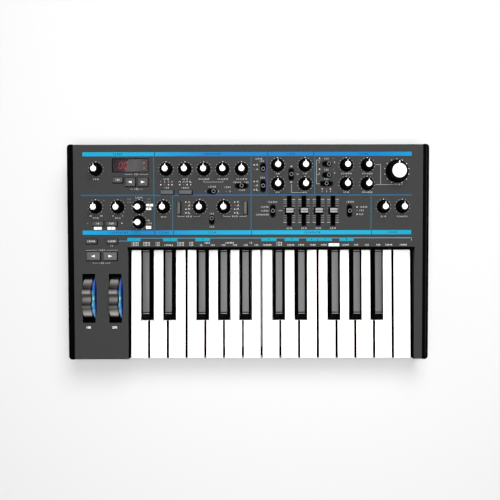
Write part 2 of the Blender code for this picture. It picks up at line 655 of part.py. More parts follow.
def sockets():
    """Every rear socket: its outline about its own middle, for the plug and for the nose."""
    found = []
    for x in JACK_X:
        found.append((x, circle(x, SOCKET_HEIGHT, JACK_RADIUS, SOCKET_SIDES),
                      circle(x, SOCKET_HEIGHT, JACK_NOSE_RADIUS, SOCKET_SIDES)))
    for x in DIN_X:
        found.append((x, circle(x, SOCKET_HEIGHT, DIN_RADIUS, SOCKET_SIDES),
                      circle(x, SOCKET_HEIGHT, DIN_NOSE_RADIUS, SOCKET_SIDES)))
    found.append((USB_X, rectangle(USB_X, SOCKET_HEIGHT, *USB_SIDES),
                  rectangle(USB_X, SOCKET_HEIGHT, *USB_NOSE_SIDES)))
    found.append((POWER_X, circle(POWER_X, SOCKET_HEIGHT, POWER_RADIUS, SOCKET_SIDES),
                  circle(POWER_X, SOCKET_HEIGHT, POWER_NOSE_RADIUS, SOCKET_SIDES)))
    return found


def grown(loop, by):
    """An outline loop moved outwards from its middle by a clearance."""
    middle = sum((Vector(point) for point in loop), Vector((0, 0))) / len(loop)
    away = [Vector(point) - middle for point in loop]
    return [tuple(middle + arm + by * arm.normalized() * math.sqrt(2)) for arm in away]


def wheel_axle(name):
    """World x, y and z of the middle of a wheel's axle."""
    x = PANEL_LEFT + WHEEL_X[name]
    y = FOLD + WHEEL_V * math.cos(PANEL_TILT) + WHEEL_AXLE_DROP * math.sin(PANEL_TILT)
    return x, y, panel_height(y, -WHEEL_AXLE_DROP)


def case_shell(parts, cutters, panel):
    """The outer block of the case, with rounded corners and its top cut along the slope."""
    height = panel_height(REAR) + OVERCUT
    shell = box("bottom_case", (-WIDTH / 2, FRONT, FOOT_HEIGHT), (WIDTH / 2, REAR, height), parts)
    shape = bmesh.new()
    shape.from_mesh(shell.data)
    upright = [e for e in shape.edges if abs(e.verts[0].co.z - e.verts[1].co.z) > height / 2]
    bmesh.ops.bevel(shape, geom=upright, offset=CORNER_RADIUS, segments=4, affect="EDGES",
                    profile=0.5)
    shape.to_mesh(shell.data)
    shape.free()
    top = box("case_top_cut", (-WIDTH, panel_v(FRONT) - OVERCUT, CHEEK_PROUD),
              (WIDTH, panel_v(REAR) + OVERCUT, 2 * height), cutters, panel)
    boolean(shell, "DIFFERENCE", helper(top))
    return shell


def case_additions(group):
    """Walls, feet, bosses and wheel cradles that are moulded in one with the case."""
    for name, left, right in (("left_well_wall", WELL_LEFT - WELL_WALL, WELL_LEFT),
                              ("right_well_wall", WELL_RIGHT, WELL_RIGHT + WELL_WALL)):
        box(name, (left, FRONT + BITE, FLOOR_TOP - BITE),
            (right, FOLD + WELL_WALL, FOLD_HEIGHT), group)
    for side in (-1, 1):
        for y in (FRONT + FOOT_INSET, REAR - FOOT_INSET):
            rod(f"foot_{side}_{y > 0}", FOOT_RADIUS, 0.0, FOOT_HEIGHT + BITE, FOOT_SIDES, group,
                place=(side * (WIDTH / 2 - FOOT_INSET), y, 0))
    span = WELL_RIGHT - WELL_LEFT
    for share in (0.1, 0.5, 0.9):
        for y in (FRONT + 2 * FRAME_FRONT, FOLD):
            rod(f"frame_boss_{share}_{y > FRONT / 2}", POST_RADIUS, FLOOR_TOP - BITE,
                FRAME_BOTTOM - GAP, POST_SIDES, group, place=(WELL_LEFT + share * span, y, 0))
    for x, y in board_posts():
        top = panel_height(y - POST_RADIUS, -BOARD_UNDERSIDE - GAP)
        rod(f"board_post_{x:.3f}_{y:.3f}", POST_RADIUS, FLOOR_TOP - BITE, top, POST_SIDES, group,
            place=(x, y, 0))
    for name in WHEEL_X:
        x, y, z = wheel_axle(name)
        for side in (-1, 1):
            inner = x + side * (WHEEL_WIDTH / 2 + AXLE_STUB - CRADLE - GAP)
            outer = inner + side * CRADLE
            box(f"{name}_ear_{side}", (min(inner, outer), y - CRADLE_LENGTH / 2, FLOOR_TOP - BITE),
                (max(inner, outer), y + CRADLE_LENGTH / 2, z + 2 * AXLE_RADIUS), group)


def board_posts():
    """Places of the posts that carry the control board behind the keybed."""
    front, rear = PIVOT + FRONT_POST_SETBACK, REAR - REAR_POST_SETBACK
    side = PANEL_RIGHT - 2 * BOARD_EDGE
    return [(-side, front), (0.0, front), (side, front), (-side, rear),
            (JACK_X[0] - JACK_POST_OFFSET, rear)]


def case_cuts(group, panel):
    """What is cut from the finished case: the panel's seat, the key opening, sockets, axle slots."""
    box("panel_seat", (PANEL_LEFT, panel_v(FRONT) - OVERCUT, -PANEL_THICKNESS - GAP),
        (PANEL_RIGHT, panel_v(REAR) + OVERCUT, WIDTH), group, panel)
    box("key_opening", (WELL_LEFT, FRONT - OVERCUT, SLIP_HEIGHT),
        (WELL_RIGHT, FRONT + WALL + OVERCUT, WIDTH), group)
    for number, (_, _, nose) in enumerate(sockets()):
        plate(f"socket_cut_{number}", [grown(nose, GAP)], -REAR - OVERCUT, -REAR + WALL + OVERCUT,
              group, turn=ALONG_Y)
    for name in WHEEL_X:
        x, y, z = wheel_axle(name)
        half = AXLE_RADIUS + GAP
        reach = WHEEL_WIDTH / 2 + AXLE_STUB + OVERCUT
        box(f"{name}_axle_slot", (x - reach, y - half, z - half), (x + reach, y + half, WIDTH), group)


def make_bottom_case(parts, cutters, panel):
    """Moulded lower case with its cheeks, walls, key well, feet, bosses and wheel cradles."""
    case = case_shell(parts, cutters, panel)
    ledge = BITE
    cavity = box("case_cavity", (PANEL_LEFT + ledge, FRONT + WALL, FLOOR_TOP),
                 (PANEL_RIGHT - ledge, REAR - WALL, WIDTH), cutters)
    boolean(case, "DIFFERENCE", helper(cavity))
    additions = collection("case_additions")
    case_additions(additions)
    cuts = collection("case_cuts")
    case_cuts(cuts, panel)
    for made in [*additions.objects, *cuts.objects]:
        helper(made)
    boolean(case, "UNION", additions)
    boolean(case, "DIFFERENCE", cuts)
    return piece(case, "case_black")


# Top panel

def all_buttons():
    """Middle and size of every push button's window, in panel coordinates."""
    block = [(PANEL_LEFT + x, v, size) for x, v, size in BLOCK_BUTTONS]
    return [*CONTROL_BUTTONS, *block]


def switch_length(positions):
    """Length of a slide switch's slot."""
    return SWITCH_SLOT_WIDTH + (positions - 1) * SWITCH_STEP


def panel_holes():
    """Every hole in the top panel, as outline loops."""
    hole = SHAFT_RADIUS + SHAFT_CLEARANCE
    holes = [circle(x, v, hole, SHAFT_HOLE_SIDES) for x, v in [*KNOB_PLACES.values(), CUTOFF_PLACE]]
    slot_length = FADER_TRAVEL + FADER_STEM.y + 2 * SLIDE_CLEARANCE + FADER_SLOT_WIDTH / 2
    holes += [rectangle(FADER_X + step * FADER_STEP, FADER_V, FADER_SLOT_WIDTH, slot_length)
              for step in range(len(FADER_NAMES))]
    holes += [slot(x, v, switch_length(positions), SWITCH_SLOT_WIDTH, across)
              for x, v, positions, _, across in SWITCHES]
    holes += [rectangle(x, v, size.x + 2 * GAP, size.y + 2 * GAP) for x, v, size in all_buttons()]
    holes += [rectangle(PANEL_LEFT + x, WHEEL_V, *WHEEL_SLOT) for x in WHEEL_X.values()]
    holes.append(rectangle(*DISPLAY_PLACE, *DISPLAY))
    return holes


def make_top_panel(parts, cutters, panel):
    """Painted steel panel, one sheet round three sides of the keys, folded down behind them."""
    front, rear = panel_v(FRONT + PANEL_INSET), panel_v(REAR - PANEL_INSET)
    left, right = PANEL_LEFT + GAP, PANEL_RIGHT - GAP
    outline = [(left, front), (WELL_LEFT, front), (WELL_LEFT, 0), (WELL_RIGHT, 0),
               (WELL_RIGHT, front), (right, front), (right, rear), (left, rear)]
    sheet = plate("top_panel", [outline], -PANEL_THICKNESS, 0.0, parts, panel)
    lip = box("panel_lip", (WELL_LEFT + GAP, LIP_SETBACK, -PANEL_LIP),
              (WELL_RIGHT - GAP, LIP_SETBACK + PANEL_THICKNESS, -PANEL_THICKNESS + BITE), cutters, panel)
    holes = plate("panel_holes", panel_holes(), -PANEL_THICKNESS - OVERCUT, OVERCUT, cutters, panel)
    boolean(sheet, "UNION", helper(lip))
    boolean(sheet, "DIFFERENCE", helper(holes))
    return piece(sheet, "panel_paint")


def make_display_window(parts, cutters, panel):
    """Tinted window of the display: it fills its hole and has a flange under the panel."""
    x, v = DISPLAY_PLACE
    half = DISPLAY / 2
    lens = box("display_window", (x - half.x + GAP, v - half.y + GAP, -PANEL_THICKNESS - 2 * GAP),
               (x + half.x - GAP, v + half.y - GAP, 0.0), parts, panel)
    reach = half + Vector((DISPLAY_FLANGE, DISPLAY_FLANGE))
    top = -PANEL_THICKNESS - GAP
    flange = box("display_flange", (x - reach.x, v - reach.y, top - DISPLAY_FLANGE_THICKNESS),
                 (x + reach.x, v + reach.y, top), cutters, panel)
    boolean(lens, "UNION", helper(flange))
    return piece(lens, "display_lens")


# Control board

def board_parts(group, panel):
    """Everything soldered to the control board that stands between it and the panel."""
    low = -BOARD_DROP - BITE
    for name, (x, v) in [*KNOB_PLACES.items(), ("cutoff", CUTOFF_PLACE)]:
        box(f"{name}_pot", (x - POT_BODY.x / 2, v - POT_BODY.y / 2, low),
            (x + POT_BODY.x / 2, v + POT_BODY.y / 2, POT_TOP), group, panel)
    for step, name in enumerate(FADER_NAMES):
        x = FADER_X + step * FADER_STEP
        box(f"{name}_track", (x - FADER_BODY.x / 2, FADER_V - FADER_BODY.y / 2, low),
            (x + FADER_BODY.x / 2, FADER_V + FADER_BODY.y / 2, -BOARD_DROP + FADER_BODY.z), group, panel)
    for number, (x, v, size) in enumerate(all_buttons()):
        half = size / 2 - Vector((GAP, GAP))
        box(f"button_{number}", (x - half.x, v - half.y, low), (x + half.x, v + half.y, BUTTON_RISE),
            group, panel)
    for number, (x, v, positions, at_rest, across) in enumerate(SWITCHES):
        half = SWITCH_BODY / 2 if across else SWITCH_BODY.yxz / 2
        body_top = -BOARD_DROP + SWITCH_BODY.z
        box(f"switch_{number}", (x - half.x, v - half.y, low), (x + half.x, v + half.y, body_top),
            group, panel)
        shift = (at_rest - (positions - 1) / 2) * SWITCH_STEP
        place = (x + shift, v, 0) if across else (x, v + shift, 0)
        rod(f"switch_stem_{number}", SWITCH_STEM_RADIUS, body_top - BITE, SWITCH_STEM_RISE,
            SWITCH_STEM_SIDES, group, panel, place)
    x, v = DISPLAY_PLACE
    top = -PANEL_THICKNESS - 2 * GAP - DISPLAY_FLANGE_THICKNESS
    box("display_module", (x - DISPLAY.x / 2, v - DISPLAY.y / 2, low),
        (x + DISPLAY.x / 2, v + DISPLAY.y / 2, top), group, panel)


def jack_parts(group):
    """Upright jack board hung from the control board, with the socket blocks on its rear face."""
    inner = REAR - WALL - GAP
    board = inner - SOCKET_DEPTH - SOCKET_BACK
    lowest = SOCKET_HEIGHT - SOCKET_BLOCK.y / 2 - BITE
    box("jack_board", (JACK_X[0] - JACK_BOARD_MARGIN, board - BOARD_THICKNESS, lowest),
        (POWER_X + JACK_BOARD_MARGIN, board, panel_height(board, -BOARD_DROP - BITE)), group)
    for number, (x, _, nose) in enumerate(sockets()):
        box(f"socket_block_{number}",
            (x - SOCKET_BLOCK.x / 2, board - BITE, SOCKET_HEIGHT - SOCKET_BLOCK.y / 2),
            (x + SOCKET_BLOCK.x / 2, inner, SOCKET_HEIGHT + SOCKET_BLOCK.y / 2), group)
        plate(f"socket_nose_{number}", [nose], -REAR + GAP, -inner + BITE, group, turn=ALONG_Y)


def make_control_board(parts, cutters, panel):
    """Control board with its pots, fader tracks, switches, buttons, display and rear sockets."""
    left, right = PANEL_LEFT + BOARD_EDGE, PANEL_RIGHT - BOARD_EDGE
    tongue = WELL_LEFT - BOARD_EDGE
    outline = [(left, BOARD_TONGUE_FRONT), (tongue, BOARD_TONGUE_FRONT),
               (tongue, CONTROL_BOARD_FRONT), (right, CONTROL_BOARD_FRONT),
               (right, CONTROL_BOARD_REAR), (left, CONTROL_BOARD_REAR)]
    board = plate("control_board", [outline], -BOARD_UNDERSIDE, -BOARD_DROP, parts, panel)
    fitted = collection("board_parts")
    board_parts(fitted, panel)
    jack_parts(fitted)
    bores = collection("socket_bores")
    for number, (_, bore, _) in enumerate(sockets()):
        plate(f"socket_bore_{number}", [bore], -REAR - OVERCUT, -REAR + WALL + SOCKET_DEPTH, bores,
              turn=ALONG_Y)
    for made in [*fitted.objects, *bores.objects]:
        helper(made)
    boolean(board, "UNION", fitted)
    boolean(board, "DIFFERENCE", bores)
    return piece(board, "circuit_board")


# Moving controls

def knob_mesh(name, height, skirt, grip, top, cap, sides, cutters):
    """A turned knob on its shaft, with a raised pointer from the cap to the rim of its top."""
    profile = [(0, height), (cap, height), (top, height - KNOB_EDGE), (grip, KNOB_LIFT + KNOB_SKIRT),
               (skirt, KNOB_LIFT + KNOB_SKIRT / 2), (skirt, KNOB_LIFT), (SHAFT_RADIUS, KNOB_LIFT),
               (SHAFT_RADIUS, SHAFT_END), (0, SHAFT_END)]
    blank = helper(turned(name, profile, sides, cutters))
    pointer = box(name + "_pointer", (-POINTER_WIDTH / 2, cap / 2, height - POINTER_ROOT),
                  (POINTER_WIDTH / 2, top, height + POINTER_RISE), cutters)
    boolean(blank, "UNION", helper(pointer))
    return baked(blank)


def make_knobs(parts, cutters, panel):
    """The small knobs, which share one mesh, and the large cutoff knob."""
    small = knob_mesh("small_knob", KNOB_HEIGHT, KNOB_SKIRT_RADIUS, KNOB_GRIP_RADIUS, KNOB_TOP_RADIUS,
                      KNOB_CAP_RADIUS, KNOB_SIDES, cutters)
    large = knob_mesh("large_knob", CUTOFF_HEIGHT, CUTOFF_SKIRT_RADIUS, CUTOFF_GRIP_RADIUS,
                      CUTOFF_TOP_RADIUS, CUTOFF_CAP_RADIUS, CUTOFF_SIDES, cutters)
    for name, (x, v) in KNOB_PLACES.items():
        knob = add_object(name, small, parts, panel, (x, v, 0))
        knob.rotation_euler.z = math.radians(90) if name in SELECTOR_KNOBS else 0.0
        piece(knob, "knob_black")
    piece(add_object("cutoff_knob", large, parts, panel, (*CUTOFF_PLACE, 0)), "knob_black")


def make_faders(parts, cutters, panel):
    """Four fader caps, each on the stem that reaches through its slot to the track."""
    foot, top = FADER_CAP_FOOT / 2, FADER_CAP_TOP / 2
    cap = helper(tapered("fader_cap", (-foot.x, -foot.y, foot.x, foot.y), KNOB_LIFT,
                         (-top.x, -top.y, top.x, top.y), FADER_CAP_HEIGHT, cutters))
    half = FADER_STEM / 2
    stem = box("fader_stem", (-half.x, -half.y, -BOARD_DROP + FADER_BODY.z + GAP),
               (half.x, half.y, KNOB_LIFT + BITE), cutters)
    groove = rod("fader_groove", FADER_GROOVE_RADIUS, -foot.x * 2, foot.x * 2, FADER_GROOVE_SIDES,
                 cutters, place=(0, 0, FADER_CAP_HEIGHT + FADER_GROOVE_LIFT),
                 turn=Matrix.Rotation(math.pi / 2, 4, "Y"))
    boolean(cap, "UNION", helper(stem))
    boolean(cap, "DIFFERENCE", helper(groove))
    mesh = baked(cap)
    for step, name in enumerate(FADER_NAMES):
        place = (FADER_X + step * FADER_STEP, FADER_V, 0)
        piece(add_object(name, mesh, parts, panel, place), "fader_silver")


def wheel_mesh(cutters):
    """A wheel on stub axles, with a thumb groove between two ridges at the top of its rim."""
    half, edge = WHEEL_WIDTH / 2, WHEEL_RIM_ROUND
    axle = half + AXLE_STUB
    profile = [(0, axle), (AXLE_RADIUS, axle), (AXLE_RADIUS, half), (WHEEL_RADIUS - edge, half),
               (WHEEL_RADIUS, half - edge), (WHEEL_RADIUS, edge - half), (WHEEL_RADIUS - edge, -half),
               (AXLE_RADIUS, -half), (AXLE_RADIUS, -axle), (0, -axle)]
    blank = helper(turned("wheel_blank", profile, WHEEL_SIDES, cutters))
    for side in (-1, 1):
        arm = WHEEL_RADIUS + WHEEL_RIDGE_RISE - WHEEL_RIDGE_RADIUS
        place = (arm * math.cos(WHEEL_RIDGE_ANGLE), side * arm * math.sin(WHEEL_RIDGE_ANGLE), 0)
        ridge = rod(f"wheel_ridge_{side}", WHEEL_RIDGE_RADIUS, edge - half, half - edge,
                    WHEEL_RIDGE_SIDES, cutters, place=place)
        boolean(blank, "UNION", helper(ridge))
    reach = WHEEL_RADIUS + WHEEL_GROOVE_RADIUS - WHEEL_GROOVE_DEPTH
    groove = rod("wheel_groove", WHEEL_GROOVE_RADIUS, -axle, axle, WHEEL_GROOVE_SIDES, cutters,
                 place=(reach, 0, 0))
    boolean(blank, "DIFFERENCE", helper(groove))
    mesh = baked(blank)
    mesh.transform(Matrix.Rotation(-math.pi / 2, 4, "Y"))
    return mesh


def make_wheels(parts, cutters):
    """Pitch and modulation wheels, side by side in the left block."""
    mesh = wheel_mesh(cutters)
    for name in WHEEL_X:
        piece(add_object(name, mesh, parts, place=wheel_axle(name)), "wheel_rubber")


def main():
    for old in list(bpy.data.objects):
        bpy.data.objects.remove(old)
    parts = collection("synthesizer")
    cutters = collection("cutters")
    panel = add_object("panel_plane", None, parts, place=(0, FOLD, FOLD_HEIGHT))
    panel.rotation_euler.x = PANEL_TILT
    for index in range(WHITE_KEY_COUNT):
        make_white_key(index, parts, cutters)
    for number, middle in enumerate(black_key_middles(), 1):
        make_black_key(number, middle, parts, cutters)
    make_knobs(parts, cutters, panel)
    make_faders(parts, cutters, panel)
    make_wheels(parts, cutters)
    make_keybed_frame(parts, cutters)
    make_display_window(parts, cutters, panel)
    make_top_panel(parts, cutters, panel)
    make_bottom_case(parts, cutters, panel)
    make_control_board(parts, cutters, panel)


main()
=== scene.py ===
"""Looks of a small twenty-five-key analogue synthesizer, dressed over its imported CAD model.

Lengths are millimetres until they reach a mesh. World: +X right, +Y away from the player, +Z up.
Panel coordinates (x, v, w): v runs up the sloping panel from the fold behind the keys, and w stands
square on the panel's painted face. Every new surface is a stack of closed loops, held as one array.
"""

import json
import math

import bmesh
import bpy
import numpy as np
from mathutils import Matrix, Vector


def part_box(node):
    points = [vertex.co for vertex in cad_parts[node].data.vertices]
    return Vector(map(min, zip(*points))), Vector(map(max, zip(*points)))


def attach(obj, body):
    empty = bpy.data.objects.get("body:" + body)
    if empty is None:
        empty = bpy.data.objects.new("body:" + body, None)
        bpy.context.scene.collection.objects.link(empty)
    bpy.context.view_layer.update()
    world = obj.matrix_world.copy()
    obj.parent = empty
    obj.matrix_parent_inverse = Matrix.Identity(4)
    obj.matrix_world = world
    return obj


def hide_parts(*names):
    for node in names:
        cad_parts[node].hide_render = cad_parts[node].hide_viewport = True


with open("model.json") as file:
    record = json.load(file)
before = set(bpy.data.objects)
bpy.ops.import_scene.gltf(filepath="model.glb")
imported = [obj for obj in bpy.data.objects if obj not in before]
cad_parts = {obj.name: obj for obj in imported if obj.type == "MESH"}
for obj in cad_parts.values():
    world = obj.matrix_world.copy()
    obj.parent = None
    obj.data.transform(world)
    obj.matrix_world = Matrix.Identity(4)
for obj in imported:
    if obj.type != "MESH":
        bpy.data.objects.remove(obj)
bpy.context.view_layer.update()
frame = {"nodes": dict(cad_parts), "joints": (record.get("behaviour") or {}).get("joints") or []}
nodes = frame["nodes"]

MM = 0.001
TILT = math.radians(3.0)
FOLD_Y, FOLD_Z = 5.0, 54.7
REAR_Y = 133.0
# Points on the axes of the pieces that turn; a piece that slides has none
PIVOTS = {joint["child"]: np.array(joint["pos_m"]) / MM for joint in frame["joints"] if "pos_m" in joint}
SHARP_ANGLE, BEVEL_ANGLE, FLAT_ANGLE = np.radians((38.0, 30.0, 0.5)).tolist()
SIDEWAYS = 0.7                      # a face whose normal turns this far along an axis looks along it
INK_LOW, INK_TOP = -0.1, 0.06       # depth and height of printing about the panel's painted face
LEAST_RADIUS = 0.05                 # a round corner never gets smaller than this
GLYPH_MERGE, CAD_MERGE = 0.002, 0.005   # vertices closer than this become one
BEVEL_STEPS = 2

# Controls that stay on the control board, in panel coordinates
ARROW, BAR, LABEL, TALL, OCTAVE = (13.0, 11.2), (16.6, 6.0), (14.2, 6.0), (5.0, 16.0), (17.4, 10.9)
SAVE = (13.0, 7.2)
ARROW_BUTTONS = ((-145.4, 82.0, *ARROW), (-129.9, 82.0, *ARROW))
LIGHT_BUTTONS = ((-191.6, -9.4, *OCTAVE), (-170.8, -9.4, *OCTAVE))
MID_BUTTONS = ((-100.2, 69.4, *BAR), (-77.4, 69.4, *BAR), (-85.8, 50.1, *TALL), (-3.6, 50.0, *TALL))
DARK_BUTTONS = ((-160.8, 84.6, *SAVE), (-185.6, 30.8, *LABEL), (-169.0, 30.8, *LABEL),
                (-194.0, 8.9, *LABEL), (-168.5, 8.9, *LABEL))
# Slide switches: x, v, positions, position at rest, slot lies across
SWITCHES = ((-44.6, 70.3, 2, 1, True), (-8.0, 77.2, 3, 1, True), (97.1, 103.8, 2, 1, True),
            (97.1, 90.1, 2, 1, True), (96.4, 79.7, 3, 1, True), (18.5, 99.8, 2, 0, False),
            (18.5, 77.1, 3, 1, False), (53.2, 91.1, 3, 1, False), (-44.9, 35.0, 2, 1, False),
            (30.5, 46.1, 3, 1, False), (125.1, 46.2, 3, 1, False))
SWITCH_WIDTH, SWITCH_STEP = 6.3, 4.3
FADER_V, FADER_SLOT = 46.2, (5.2, 35.6)
DISPLAY = (-145.2, 102.4, 44.0, 16.0)
SELECTORS = ("arp_mode_knob", "arp_octave_knob")


# Meshes

def panel_points(x, v, w):
    """World metres of panel coordinates: v goes up the slope and w square to it, turned by the tilt."""
    x, v, w = np.broadcast_arrays(x, v, w)
    y = FOLD_Y + v * math.cos(TILT) - w * math.sin(TILT)
    z = FOLD_Z + v * math.sin(TILT) + w * math.cos(TILT)
    return np.stack([x, y, z], -1) * MM


def on_panel(loops, places, turn=0.0):
    """Copies of a local shape, turned about w and stood on the panel at each (x, v) place."""
    places = np.atleast_2d(np.array(places, float))[:, :, None, None]
    x = loops[..., 0] * math.cos(turn) - loops[..., 1] * math.sin(turn)
    v = loops[..., 0] * math.sin(turn) + loops[..., 1] * math.cos(turn)
    return panel_points(places[:, 0] + x, places[:, 1] + v, loops[..., 2])


def skin(loops, start, tube=False):
    """Faces of copies of stacked loops: quads join neighbouring loops, counted round each loop.

    The first and last loop are filled, or joined to each other where the stack is a closed tube.
    """
    copies, rows, columns = loops.shape[:3]
    index = start + np.arange(copies * rows * columns).reshape(copies, rows, columns)
    low = index if tube else index[:, :-1]
    high = np.roll(index, -1, 1) if tube else index[:, 1:]
    quads = np.stack([low, np.roll(low, -1, 2), np.roll(high, -1, 2), high], -1).reshape(-1, 4)
    caps = [] if tube else np.concatenate([index[:, 0, ::-1], index[:, -1]]).tolist()
    return quads.tolist() + caps


def read(items, key, width=3):
    """One property of all the vertices or faces of a mesh, as an array of rows."""
    values = np.empty(len(items) * width)
    items.foreach_get(key, values)
    return values.reshape(-1, width)


def stand(name, data):
    """A new object in the scene."""
    made = bpy.data.objects.new(name, data)
    bpy.context.scene.collection.objects.link(made)
    return made


def finish_piece(name, mesh, finish, body="chassis", replaced=None):
    """Links a finished mesh as a piece that rides on a body and takes a slot's finish."""
    mesh.materials.clear()
    mesh.materials.append(finish)
    mesh.shade_smooth()
    mesh.set_sharp_from_angle(angle=SHARP_ANGLE)
    made = stand(name, mesh)
    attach(made, body)
    if replaced:
        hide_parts(replaced)
    return made


def make(name, stacks, finish, body="chassis", replaced=None, tube=False):
    """One piece from arrays of loops in metres, shaped (copies, rows, columns, 3)."""
    points, faces, start = [], [], 0
    for loops in stacks:
        loops = loops if loops.ndim == 4 else loops[None]
        faces += skin(loops, start, tube)
        points.append(loops.reshape(-1, 3))
        start += points[-1].shape[0]
    mesh = bpy.data.meshes.new(name)
    mesh.from_pydata(np.concatenate(points).tolist(), [], faces)
    mesh.validate()
    return finish_piece(name, mesh, finish, body, replaced)


def angles(columns):
    """Angles of a full turn in equal steps."""
    return np.arange(columns) * 2 * math.pi / columns


def circle(columns):
    """Points of a unit circle, counted anticlockwise."""
    return np.stack([np.cos(angles(columns)), np.sin(angles(columns))], -1)


def rounded(width, depth, radius, steps):
    """Outline of a rectangle with round corners: a quarter circle about each corner's middle."""
    angle = (np.arange(4)[:, None] * math.pi / 2 + np.linspace(0, math.pi / 2, steps)).ravel()
    side = np.repeat([[1, 1], [-1, 1], [-1, -1], [1, -1]], steps, 0)
    arc = radius * np.stack([np.cos(angle), np.sin(angle)], -1)
    return side * (np.array([width, depth]) / 2 - radius) + arc


def raised(flat, heights):
    """Flat loops, each lifted to its own height."""
    heights = np.broadcast_to(np.array(heights, float)[:, None, None], (*flat.shape[:2], 1))
    return np.concatenate([flat, heights], -1)


def prism(edge, low, high):
    """A flat outline carried straight up."""
    return raised(np.stack([edge, edge]), (low, high))


def pad(width, depth, radius, profile, steps=5):
    """A round-cornered outline carried up a profile of (inset, height) pairs."""
    flat = [rounded(width - 2 * inset, depth - 2 * inset, max(radius - inset, LEAST_RADIUS), steps)
            for inset, _ in profile]
    return raised(np.array(flat), [height for _, height in profile])


def turned(profile, columns):
    """A profile of (radius, height) pairs carried round an upright axis."""
    radius, heights = np.array(profile, float).T
    return raised(radius[:, None, None] * circle(columns), heights)


def outline(size, margin, radius, corner, top, steps=5, shift=(0, 0, 0)):
    """A flat rim round a hole: a closed tube between the rim's and the hole's round-cornered outlines."""
    rim = pad(size[0] + margin[0], size[1] + margin[1], radius, ((0, INK_LOW), (0, top)), steps) + shift
    return np.concatenate([rim, pad(*size, corner, ((0, top), (0, INK_LOW)), steps)])


def strokes(segments, width, low, high):
    """A flat bar along each segment (x0, v0, x1, v1): its ends moved sideways by half the width."""
    ends = np.array(segments, float).reshape(-1, 2, 2)
    along = ends[:, 1] - ends[:, 0]
    along /= np.linalg.norm(along, axis=1, keepdims=True)
    side = np.stack([-along[:, 1], along[:, 0]], -1) * width / 2
    corners = np.stack([ends[:, 0] - side, ends[:, 1] - side, ends[:, 1] + side, ends[:, 0] + side], 1)
    height = np.array([low, high])[None, :, None]
    return panel_points(corners[:, None, :, 0], corners[:, None, :, 1], height)


def make_lines(name, segments, width, ink, top=INK_TOP):
    """One piece of printed lines, a few hundredths above the paint."""
    make(name, [strokes(segments, width, INK_LOW, top)], ink)


def chain(*points):
    """Segments between the points of an open line."""
    return [(*a, *b) for a, b in zip(points, points[1:])]


BOLD = 0.022                        # share of their size that the numbers are thickened by
NUMBER_TOP, CURVE_STEPS = 0.07, 2   # upper face of the numbers, and steps in each of their curves
GLYPH_DEPTH = 0.5                   # tells the two faces of a glyph apart before they are laid down


def make_numbers(name, labels, size, ink, low=INK_LOW, high=NUMBER_TOP):
    """One piece of plain numbers: each glyph's filled outline, thickened, laid on the panel and closed."""
    shape = bmesh.new()
    for text, x, v in labels:
        curve = bpy.data.curves.new("number", "FONT")
        curve.body, curve.size, curve.offset = str(text), size, size * BOLD
        curve.extrude, curve.resolution_u = GLYPH_DEPTH, CURVE_STEPS
        curve.align_x, curve.align_y = "CENTER", "CENTER"
        holder = stand("number", curve)
        ready = holder.evaluated_get(bpy.context.evaluated_depsgraph_get())
        glyph = bpy.data.meshes.new_from_object(ready)
        bpy.data.objects.remove(holder)
        flat = read(glyph.vertices, "co")
        points = panel_points(x + flat[:, 0], v + flat[:, 1], np.where(flat[:, 2] > 0, high, low))
        glyph.vertices.foreach_set("co", points.ravel())
        shape.from_mesh(glyph)
        bpy.data.meshes.remove(glyph)
    bmesh.ops.remove_doubles(shape, verts=shape.verts, dist=GLYPH_MERGE * MM)
    bmesh.ops.recalc_face_normals(shape, faces=shape.faces)
    mesh = bpy.data.meshes.new(name)
    shape.to_mesh(mesh)
    shape.free()
    finish_piece(name, mesh, ink)


def softened(node, finish, width, body, flank=None):
    """A merged copy of a CAD node whose edges are rounded, which stands for that node.

    Faces that look along X take the flank's material where there is one, and so do their edges: for the
    keys this is painted shade, so the gaps between keys read black.
    """
    mesh = nodes[node].data.copy()
    shape = bmesh.new()
    shape.from_mesh(mesh)
    bmesh.ops.remove_doubles(shape, verts=shape.verts, dist=CAD_MERGE * MM)
    bmesh.ops.dissolve_limit(shape, angle_limit=FLAT_ANGLE, verts=shape.verts, edges=shape.edges)
    shape.to_mesh(mesh)
    shape.free()
    made = finish_piece(node + "_shell", mesh, flank or finish, body, node)
    if flank:
        mesh.materials.append(finish)
        along = np.abs(read(mesh.polygons, "normal")[:, 0])
        mesh.polygons.foreach_set("material_index", (along < SIDEWAYS).astype(np.int32))
    bevel = made.modifiers.new("edges", "BEVEL")
    bevel.width, bevel.segments = width * MM, BEVEL_STEPS
    bevel.limit_method, bevel.angle_limit = "ANGLE", BEVEL_ANGLE
    bevel.use_clamp_overlap, bevel.harden_normals = True, True
    return made


# Materials

def linear(code, alpha=1.0):
    """Linear colour of an sRGB hex code."""
    srgb = np.array([int(code[i:i + 2], 16) for i in (1, 3, 5)]) / 255
    return (*np.where(srgb <= 0.04045, srgb / 12.92, ((srgb + 0.055) / 1.055) ** 2.4), alpha)


def feed(tree, node, inputs):
    """Sets inputs of a node: each is a plain value, or the socket that feeds it."""
    for key, value in inputs.items():
        if isinstance(value, bpy.types.NodeSocket):
            tree.links.new(value, node.inputs[key])
        else:
            node.inputs[key].default_value = value


def add(tree, kind, inputs, output=0, **settings):
    """Adds a node with its settings and inputs, and returns one of its outputs."""
    node = tree.nodes.new(kind)
    for key, value in settings.items():
        setattr(node, key, value)
    feed(tree, node, inputs)
    return node.outputs[output]


def material(name, values):
    """A Principled material: returns it with its node tree, its shader and its Object coordinates."""
    made = bpy.data.materials.new(name)
    made.use_nodes = True
    tree = made.node_tree
    shader = tree.nodes["Principled BSDF"]
    feed(tree, shader, values)
    return made, tree, shader, add(tree, "ShaderNodeTexCoord", {}, "Object")


